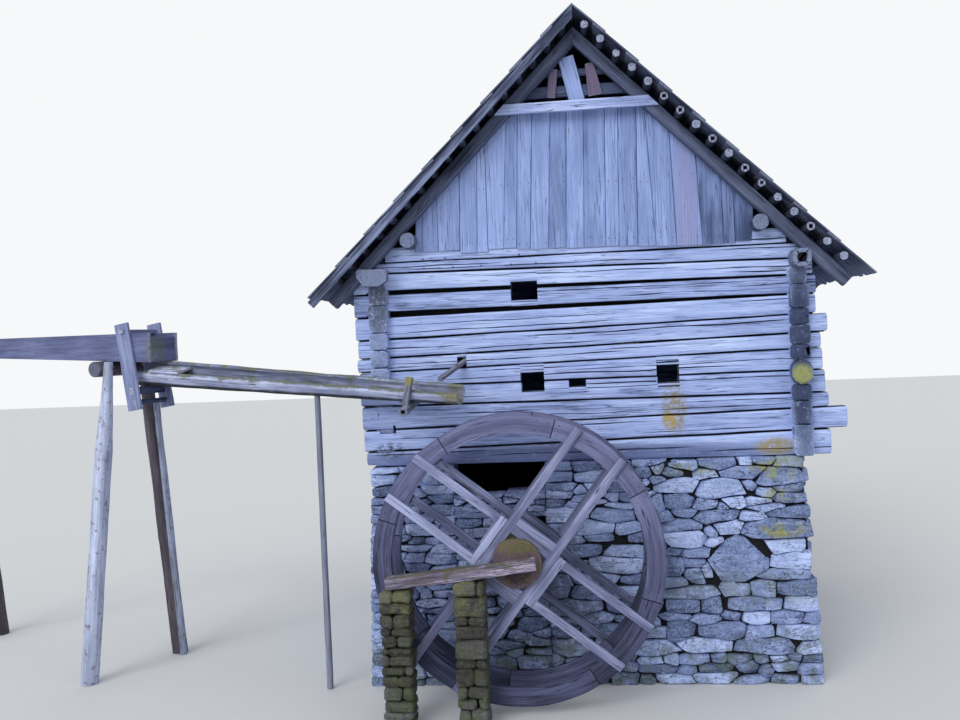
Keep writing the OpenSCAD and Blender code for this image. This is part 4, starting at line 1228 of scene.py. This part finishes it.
def felloe(whole, rng, turn_from, turn_to, front, thick):
    """One curved length of a ring, sawn from a plank."""
    stretch = rng.uniform(-0.004, 0.003)
    seed = rng.uniform(0, 90)
    begin = math.radians(turn_from) * WHEEL_OUT + 0.002
    stop = math.radians(turn_to) * WHEEL_OUT - 0.002
    stations = along_bar(begin, stop, 18, 0.006)

    def section(l):
        arris = 0.004
        out = WHEEL_OUT + stretch + 0.002 * wave(l * 4 + seed, 2, 0)
        low = WHEEL_IN + stretch * 0.5 + 0.005 * wave(l * 5 + seed, 7, 0)
        lay = 0.0015 * wave(l * 3 + seed, 4, 0)
        near = front + 0.0005 + lay
        far = front + thick - 0.0005 + lay
        middle = (out + low) / 2
        return [
            (out - arris, near), (out, near + arris), (out, far - arris), (out - arris, far),
            (middle, far), (low + arris, far), (low, far - arris), (low, near + arris), (low + arris, near),
            (middle, near),
        ]

    def place(l, r, y):
        return on_wheel(l / WHEEL_OUT, r, y)

    # Both ends of each felloe are marked -1 and painted dark: painted shade in the joints of the ring.
    gather(whole, stick(stations, section, place, rng.uniform(-1, 1), seed, (-1.0, -1.0)))


wheel_wood = weathered_wood(
    "wheel_wood", (118, 122, 160), (84, 87, 118), (44, 48, 66), (150, 150, 172), streaks=0.7
)
arm_wood = weathered_wood(
    "arm_wood", (162, 170, 208), (104, 109, 142), (46, 50, 68), (120, 122, 150), streaks=0.75
)
wheel_nails = new_shape()
for name, front, facing in (("front", RING_FRONTS[0], -1), ("rear", RING_FRONTS[1], 1)):
    ring = new_shape()
    joints = FELLOE_JOINTS + (FELLOE_JOINTS[0] + 360,)
    near, far = (front, front + RING_THICK / 2) if facing < 0 else (front + RING_THICK / 2, front)
    for a, b in zip(joints, joints[1:]):
        felloe(ring, rng, a, b, near, RING_THICK / 2)
        felloe(ring, rng, a + LAP_TURN, b + LAP_TURN, far, RING_THICK / 2)
        for turn in RING_NAILS[0]:
            for r in RING_NAILS[1]:
                spread = math.radians(a + turn + rng.uniform(-1, 1))
                face = near + (0 if facing < 0 else RING_THICK / 2)
                nail(wheel_nails, on_wheel(spread, r, face), (0, facing, 0), 0.006)
    # Painted light and shade: the rings are painted lighter towards the top of the wheel and darker towards
    # the bottom.
    tones = ring.verts.layers.float["tone"]
    for corner in ring.verts:
        corner[tones] += max(-1.7, 1.9 * (corner.co.z - WHEEL_Z) - 1.2)
    set_piece("felloes_" + name, ring, wheel_wood, "wheel_wood", "wheel_%s_ring" % name, body="wheel")

    arms = new_shape()
    middle = front + facing * ARM_STEP + ARM_THICK / 2
    for turn, offsets, lay in ((-ARM_TURN, LONG_ARMS, 0.004), (90 - ARM_TURN, CROSS_ARMS, -0.004)):
        along = Vector((math.cos(math.radians(turn)), 0, math.sin(math.radians(turn))))
        side = Vector((-along.z, 0, along.x))
        for offset in offsets:
            half = math.sqrt(WHEEL_OUT**2 - (abs(offset) + ARM_WIDE / 2) ** 2) + 0.008
            beside = math.copysign(abs(offset) + (ARM_WIDE + STIFFENER) / 2 - 0.002, offset)
            for off, back, reach, thick, wide, pitch in (
                (offset, facing * lay, half, ARM_THICK - 0.002, ARM_WIDE - 0.002, 0.12),
                (beside, 0, STIFFENER_HALF, ARM_THICK - 0.004, STIFFENER - 0.002, 0.09),
            ):
                heart = Vector((WHEEL_X, middle - back, WHEEL_Z)) + side * off
                timber(
                    arms, rng, heart - along * reach, heart + along * reach, thick, wide,
                    sides=14, pitch=pitch, rough=0.003, up=side,
                )
    # Painted light and shade: the arms' upper left part is painted lighter, where the light falls, and the
    # rear arms darker, in the shade of the front ones.
    tones = arms.verts.layers.float["tone"]
    for corner in arms.verts:
        lit_upper_left = corner.co.x < WHEEL_X - 0.25 and corner.co.z > WHEEL_Z - 0.1
        corner[tones] += (1.3 if lit_upper_left else 0.1) - (0 if facing < 0 else 1.4)
    set_piece("arms_" + name, arms, arm_wood, "wheel_wood", "wheel_%s_arms" % name, body="wheel")
set_piece("wheel_nails", wheel_nails, rusty_iron, "wheel_wood", body="wheel")

shaft = new_shape()
ends = [on_wheel(0, 0, y) for y in SHAFT_RUN]
pole(shaft, rng, *ends, SHAFT_SIZE - 0.01, sides=30, pitch=0.05, rough=0.020)
mossy_wood = weathered_wood(
    "mossy_wood", (136, 122, 136), (88, 76, 84), (40, 34, 38), (94, 78, 86), moss=0.62,
    moss_colour=(92, 90, 62), stains_and_shade=[
        ((WHEEL_X, -1.0, WHEEL_Z + 0.22), (0.34, 0.25, 0.18), (100, 94, 68), 0.75),
        ((WHEEL_X, -1.0, WHEEL_Z - 0.1), (0.2, 0.1, 0.16), (52, 42, 48), 0.7),
    ],
)
set_piece("shaft_log", shaft, mossy_wood, "mossy_wood", "wheel_shaft", body="wheel")
gudgeons = new_shape()
ends = [on_wheel(0, 0, y) for y in GUDGEON_RUN]
pole(gudgeons, rng, *ends, GUDGEON_SIZE, sides=20, rough=0.0002, pitch=0.6)
set_piece("gudgeons", gudgeons, rusty_iron, "wheel_wood", body="wheel")

# Outside, the shaft turns on a beam, a trunk hewn a little flat and overgrown with moss, which lies on two
# piers of dry stone. Each pier is given by its left and right side and its height.
BEAM_ENDS = ((-2.007, -1.15, 1.3816), (-0.548, -1.15, 1.5475))
BEAM_HIGH = 0.128
BEAM_WIDE = 0.168
PIERS = ((-1.34, -1.04, 1.40), (-2.06, -1.76, 1.32))
PIER_DEPTH = (-1.31, -0.99)
PIER_COURSE = (0.07, 0.20)
PIER_ARRIS = 0.022
WHOLE_SHARE = 0.4


def piled_stones(whole, rng, low, high):
    """A pier of stones laid on each other, one or two to a course."""
    z = low.z
    while z < high.z - 0.02:
        tall = rng.uniform(*PIER_COURSE)
        tall = high.z - z if high.z - z - tall < PIER_COURSE[0] else tall
        parts = [low.x, high.x]
        if rng.random() >= WHOLE_SHARE:
            parts.insert(1, rng.uniform(0.25, 0.75) * (high.x - low.x) + low.x)
        for a, b in zip(parts, parts[1:]):
            shape = new_shape()
            size = Vector((b - a - 0.006, high.y - low.y - rng.uniform(0, 0.03), tall - 0.006))
            middle = Vector(((a + b) / 2, (low.y + high.y) / 2, z + tall / 2))
            block = Matrix.Translation(middle) @ Matrix.Diagonal((*size, 1))
            bmesh.ops.create_cube(shape, size=1, matrix=block)
            break_edges(shape, PIER_ARRIS)
            bmesh.ops.subdivide_edges(shape, edges=[e for e in shape.edges if e.calc_length() > 0.1], cuts=1)
            tone = shape.verts.layers.float["tone"]
            own = rng.random()
            shift = Vector((rng.uniform(0, 50), 0, 0))
            for corner in shape.verts:
                corner[tone] = own
                corner.co += noise.noise_vector(corner.co * 6 + shift) * 0.022
                corner.co += noise.noise_vector(corner.co * 22 + shift) * 0.007
                corner.co.x = max(low.x, min(high.x, corner.co.x))
                corner.co.y = max(low.y, min(high.y, corner.co.y))
                corner.co.z = max(low.z, corner.co.z)
            gather(whole, shape)
        z += tall


piers = new_shape()
for a, b, high in PIERS:
    piled_stones(piers, rng, Vector((a, PIER_DEPTH[0], 0)), Vector((b, PIER_DEPTH[1], high)))
mossy_stone = stone_finish("mossy_stone", [
    ((-1.55, -1.15, 1.3), (0.9, 0.4, 0.45), (104, 106, 74), 1.0),
    ((-1.55, -1.15, 0.6), (0.9, 0.4, 0.8), (70, 74, 56), 0.9),
], ((34, 34, 34), (66, 64, 64), (110, 110, 120)))
set_piece("pier_stones", piers, mossy_stone, "field_stone", "bearing_piers")
beam = new_shape()
timber(beam, rng, *BEAM_ENDS, BEAM_WIDE, BEAM_HIGH - 0.004, sides=22, power=4, pitch=0.04, rough=0.016)
beam_wood = weathered_wood(
    "beam_wood", (178, 170, 196), (104, 98, 114), (32, 28, 34), (96, 86, 96), moss=0.45,
    moss_colour=(88, 88, 66), streaks=1.4,
)
set_piece("outer_bearing", beam, beam_wood, "mossy_wood", "bearing_beam")

# Over the shaft lies a thin lintel of two slabs that bridge the gap, and on it a course laid flat, the
# sill of the wide opening. Both are split stone, laid without mortar like the wall.
LINTEL = (1.80, 1.86)
LINTEL_RIGHT = -0.36
LINTEL_SLABS = ((-1.15, 1.83, 0.66, 0.07), (-0.61, 1.83, 0.52, 0.07))
SILL_HIGH = 2.05

slabs = new_shape()
lay_wall(slabs, rng, (OPENING_LEFT, OPENING_RIGHT), (0, 0), SILL_HIGH, on_front, floor_at=LINTEL[1])
set_piece("sill_stones", slabs, field_stone, "slab_stone", "opening_sill")
lintel = new_shape()
lay_wall(
    lintel, rng, (OPENING_LEFT, LINTEL_RIGHT), (0, 0), LINTEL[1], on_front, LINTEL_SLABS, floor_at=LINTEL[0]
)
set_piece("lintel_stones", lintel, field_stone, "slab_stone", "shaft_lintel")

# The trough of the flume: a log dug out from its upper front side, with a worn rim, which brings the water
# to the top of the wheel. A short splash board lies over it near its head, where the channel pours in.
FLUME_START = Vector((-5.33, 0.54, 0))
FLUME_TURN = math.radians(-15.9)
FLUME_WAY = Vector((math.cos(FLUME_TURN), math.sin(FLUME_TURN), 0))
FLUME_REAR = Vector((-FLUME_WAY.y, FLUME_WAY.x, 0))
TROUGH_LONG = 4.135
TROUGH_HEAD = 3.515
TROUGH_SPOUT = 3.163
TROUGH_FALL = math.atan2(TROUGH_HEAD - TROUGH_SPOUT, TROUGH_LONG)
HEAD_RADIUS = 0.170
SPOUT_RADIUS = 0.115
TROUGH_WALL = (0.038, 0.032)
TROUGH_SEED = 31.7
SPLASH_LEAN = math.radians(12)
SPLASH_RUN = (0.302, 0.718)
SPLASH_SIZE = (0.29, 0.026)
RIMS = (math.radians(172), math.radians(418))


def in_flume(u, v, z):
    """A point by its way along the flume, its distance to the rear and its height."""
    return FLUME_START + FLUME_WAY * u + FLUME_REAR * v + Vector((0, 0, z))


def along_trough(l, rear, up):
    u = 0.1 + l * math.cos(TROUGH_FALL) + up * math.sin(TROUGH_FALL)
    return in_flume(u, rear, TROUGH_HEAD - l * math.sin(TROUGH_FALL) + up * math.cos(TROUGH_FALL))


def trough_section(l):
    """The log's outside from rim to rim, and back along the hollow."""
    share = l / TROUGH_LONG
    out = between(HEAD_RADIUS, SPOUT_RADIUS, share) - 0.004
    thick = between(*TROUGH_WALL, share)
    worn_rims = [
        edge + 0.10 * wave(l * 2.3 + TROUGH_SEED, edge, 4)
        + 0.05 * wave(l * 9 + TROUGH_SEED, edge, 8)
        for edge in RIMS
    ]
    row = []
    for rims, radius, parts, wear, lane in (
        (worn_rims, out, 16, 0.005, 0), (worn_rims[::-1], out - thick, 12, 0.004, 9),
    ):
        for k in range(parts + 1):
            turn = between(*rims, k / parts)
            r = radius + wear * wave(l * 3 + TROUGH_SEED, k * 0.7, lane)
            row.append((r * math.cos(turn), r * math.sin(turn)))
    return row


trough = new_shape()
stations = along_bar(0, TROUGH_LONG, round(TROUGH_LONG / 0.08))
log = stick(stations, trough_section, along_trough, 0.2, TROUGH_SEED)
# Painted light and shade by where each corner faces: the top of the front face is lighter as a highlight, and
# the underside, the rear and the hollow are darker as shade.
tones = log.verts.layers.float["tone"]
for corner in log.verts:
    l, rear, up = corner[log.verts.layers.float_vector["grain"]]
    share = (l - TROUGH_SEED) / TROUGH_LONG
    radius = between(HEAD_RADIUS, SPOUT_RADIUS, share)
    inside = math.hypot(rear, up) < radius - 0.018
    if rear > 0:
        corner[tones] = -0.4 if inside and up > -0.5 * radius else -1.6
    elif inside:
        corner[tones] = -3.4
    elif share > 0.78:
        corner[tones] = 0.8 if up > -0.75 * radius else -3.5
    else:
        corner[tones] = 2.0 if up > -0.25 * radius else 0.4 if up > -0.66 * radius else -4.0
gather(trough, log)
splash_up = (along_trough(0, 0, 1) - along_trough(0, 0, 0)) * math.cos(SPLASH_LEAN)
splash_up -= FLUME_REAR * math.sin(SPLASH_LEAN)
timber(
    trough, rng, *(along_trough(l, -0.01, 0.045) for l in SPLASH_RUN), *SPLASH_SIZE,
    power=9, pitch=0.08, tone=2.4, up=splash_up,
)
trough_wood = weathered_wood(
    "trough_wood", (194, 202, 234), (132, 140, 174), (50, 52, 58), CUT_PALE,
    moss=0.55, moss_colour=(104, 110, 86), stains_and_shade=[
        (along_trough(3.02, -0.10, 0.10), (0.17, 0.2, 0.09), (126, 160, 140), 0.8),
        (along_trough(4.06, -0.05, 0.02), (0.16, 0.2, 0.16), (122, 116, 84), 0.8),
    ],
)
set_piece("trough_log", trough, trough_wood, "mossy_wood", "trough")

# The poles that carry the spout and work it: a bearer let into the wall, with an upright peg that keeps the
# spout in its place, a prop under the trough, and the control pole that comes out through the logs. All
# are young trees, peeled.
SPOUT_BEARER = ((-1.838, -0.80, 3.012), (-1.825, 0.24, 3.107), 0.098)
BEARER_PIT = (0.022, 0.02, -0.7)
PEG = ((-1.85, -0.612, 3.04), (-1.79, -0.612, 3.355), 0.064, 0.050)
PROP_AT = 2.54
PROP_HIGH = 3.20
PROP_SIZE = 0.071
CONTROL_POLE = ((-1.5, -0.47, 3.318), (-1.209, 0.23, 3.553), 0.060)

bearer = new_shape()
pole(bearer, rng, *SPOUT_BEARER, sides=18, pitch=0.08, rough=0.006, hollow=BEARER_PIT)
timber(bearer, rng, *PEG, power=2.6, pitch=0.05, taper=1.3, rough=0.012, up=(0, 1, 0))
bearer_wood = weathered_wood(
    "bearer_wood", (150, 156, 178), (102, 104, 120), (50, 50, 56), (110, 122, 150), moss=0.2,
    stains_and_shade=[((-1.79, -0.612, 3.33), (0.12, 0.12, 0.09), (132, 130, 86), 0.8)],
)
set_piece("bearer", bearer, bearer_wood, "peeled_pole", "trough_bearer")
props = new_shape()
ends = [in_flume(PROP_AT, 0, z) for z in (0, PROP_HIGH)]
pole(props, rng, *ends, PROP_SIZE, pitch=0.15, taper=0.9, up=(0, 1, 0))
grey_pole = weathered_wood(
    "grey_pole", (134, 142, 164), (99, 104, 120), (60, 64, 76), (120, 126, 140), checks=0.4
)
set_piece("props", props, grey_pole, "peeled_pole", "trough_props")
control = new_shape()
pole(control, rng, *CONTROL_POLE, pitch=0.08)
set_piece("control", control, bearer_wood, "peeled_pole", "control_pole")

# The channel that feeds the trough: two side boards sawn along its fall and nailed to a bottom board. Its
# end board is stained by the splashing water.
CHANNEL_ENDS = (-3.30, 0.51)
CHANNEL_TOP = 3.943
TOP_FALL = 0.0095
SIDE_OUT = 0.23
SIDE_SIZE = (0.037, 0.42)
BOTTOM_END = 0.33
BOTTOM_SIZE = (0.424, 0.037)
END_HALF = 0.206
END_SIZE = (0.028, 0.288)
CHANNEL_FALL = 0.19 / 3.81
CHANNEL_LOW = 3.607


def channel_under(u):
    return CHANNEL_LOW + (CHANNEL_ENDS[1] - u) * CHANNEL_FALL


channel = new_shape()
edges = [
    (in_flume(CHANNEL_ENDS[1], 0, CHANNEL_LOW + 0.002), -FLUME_WAY * CHANNEL_FALL - Vector((0, 0, 1))),
    (in_flume(CHANNEL_ENDS[1], 0, CHANNEL_TOP), FLUME_WAY * TOP_FALL + Vector((0, 0, 1))),
]
for v in (-SIDE_OUT, SIDE_OUT):
    ends = [in_flume(u, v, 3.80) for u in CHANNEL_ENDS]
    timber(
        channel, rng, *ends, *SIDE_SIZE, sides=20, power=9, pitch=0.1, tone=0.8, rough=0.005, cuts=edges
    )
ends = [in_flume(u, 0, channel_under(u) + 0.02) for u in (CHANNEL_ENDS[0], BOTTOM_END)]
timber(channel, rng, *ends, *BOTTOM_SIZE, sides=16, power=9, tone=-0.3)
ends = [in_flume(CHANNEL_ENDS[1] - 0.015, v, 3.755) for v in (-END_HALF, END_HALF)]
timber(channel, rng, *ends, *END_SIZE, sides=16, power=9, pitch=0.1)
channel_wood = weathered_wood(
    "channel_wood", (118, 124, 166), (80, 87, 119), (46, 52, 74), CUT_PALE, checks=0.4, streaks=0.7,
    stains_and_shade=[(in_flume(0.5, -0.12, 3.74), (0.13, 0.26, 0.22), (108, 112, 100), 0.55)],
)
set_piece("channel_boards", channel, channel_wood, "silver_board", "channel")

# The channel stands on trestles a bay apart, of crooked peeled poles: two in line in front, a dark one
# behind, and a round bearer across them. Each leg is given by its foot, head, thickness and taper, and
# the bearer by its place along, half its length, its height and thickness.
BAYS = (0, CHANNEL_ENDS[0] + 0.3)
FRONT_LEGS = (
    ((-0.2545, -0.627, -0.23), (-0.067, -0.400, 2.63), 0.195, 0.98),
    ((-0.0675, -0.402, 2.60), (-0.060, -0.262, 3.64), 0.190, 0.50),
)
REAR_LEG = ((0.0365, 0.638, -0.23), (-0.07, 0.33, 3.64), 0.186, 0.85)
CROSS_BEARER = (-0.19, 0.36, 3.551, 0.178)
THIN_POLE = ((0.135, 0.576, -0.23), (0.038, 0.388, 3.12), 0.088, 0.9)


def trestle_leg(whole, rng, bay, leg, tone):
    """One leg, cut level with the ground and with the underside of the channel."""
    foot, head, thick, end_share = leg
    rise = Vector((0, 0, channel_under(bay) - channel_under(0))) + FLUME_WAY * bay
    pole(
        whole, rng, in_flume(*foot) + rise, in_flume(*head) + rise, thick, sides=18, pitch=0.1,
        taper=end_share, rough=0.007, tone=tone, up=FLUME_WAY, cuts=[
            (Vector((0, 0, 0)), Vector((0, 0, -1))),
            (in_flume(bay, 0, channel_under(bay)), Vector((0, 0, 1))),
        ],
    )


pale_pole = weathered_wood(
    "pale_pole", (206, 216, 246), (158, 168, 196), (84, 86, 94), (150, 154, 166), checks=0.3,
    blotch=(108, 94, 92),
)
dark_pole = weathered_wood(
    "dark_pole", (118, 112, 126), (80, 74, 84), (44, 38, 40), (98, 106, 130), moss=0.15
)
front_legs = new_shape()
rear_legs = new_shape()
for bay in BAYS:
    for leg in FRONT_LEGS:
        trestle_leg(front_legs, rng, bay, leg, 0.3)
    trestle_leg(rear_legs, rng, bay, REAR_LEG, -0.5)
    back, half, level, size = CROSS_BEARER
    level += channel_under(bay) - channel_under(0)
    ends = [in_flume(bay + back, v, level) for v in (-half, half)]
    pole(rear_legs, rng, *ends, size, sides=20, pitch=0.08, rough=0.006, tone=0.5)
trestle_leg(front_legs, rng, 0, THIN_POLE, -1.2)
set_piece("pale_legs", front_legs, pale_pole, "peeled_pole", "channel_trestles")
set_piece("rear_legs", rear_legs, dark_pole, "peeled_pole")

# A clamp of boards ties trough and channel where they meet: an upright on each side, and three bars nailed
# across them. Each bar is given by its place along and up, its width and depth, and its front end.
CLAMP_BARS = (
    (0.272, 3.288, 0.048, 0.088, -0.291), (0.292, 3.155, 0.048, 0.058, -0.291),
    (0.178, 3.971, 0.058, 0.043, -0.315),
)
CLAMP_FOOT = (0.306, 3.068)
CLAMP_HEAD = (0.1575, 4.060)
CLAMP_SIZE = (0.037, 0.186)
CLAMP_OUT = 0.27
BAR_REAR = 0.325

clamp = new_shape()
for v in (-CLAMP_OUT, CLAMP_OUT):
    ends = [in_flume(u, v, z) for u, z in (CLAMP_FOOT, CLAMP_HEAD)]
    timber(clamp, rng, *ends, *CLAMP_SIZE, sides=16, power=10, pitch=0.08, tone=1.2, up=FLUME_WAY)
for u, z, wide, deep, front in CLAMP_BARS:
    ends = [in_flume(u, v, z) for v in (front, BAR_REAR)]
    timber(clamp, rng, *ends, wide, deep, power=8, pitch=0.1, tone=-2.5 if front > -0.3 else 1.0)
clamp_wood = weathered_wood(
    "clamp_wood", (140, 150, 191), (96, 105, 138), (50, 56, 75), CUT_PALE, checks=0.5
)
set_piece("clamp", clamp, clamp_wood, "silver_board", "channel_clamp")

# Indoors stand the joists and boards of the mill floor, the jambs of the back doorway and the post that
# bears the shaft's inner end. They keep the shapes of their solids and get dry, sawn wood here.
inside_wood = weathered_wood(
    "inside_wood", (132, 126, 122), (98, 92, 90), (52, 48, 48), (120, 116, 112), along="X"
)
upright_wood = weathered_wood(
    "upright_wood", (150, 156, 180), (108, 112, 132), (58, 62, 74), CUT_PALE, along="Z"
)
for name, finish in (
    ("floor_joists", inside_wood), ("floor_boards", inside_wood), ("door_jambs", upright_wood),
    ("inner_bearing", upright_wood),
):
    for place_of in frame["nodes"][name].material_slots:
        place_of.material = finish.material
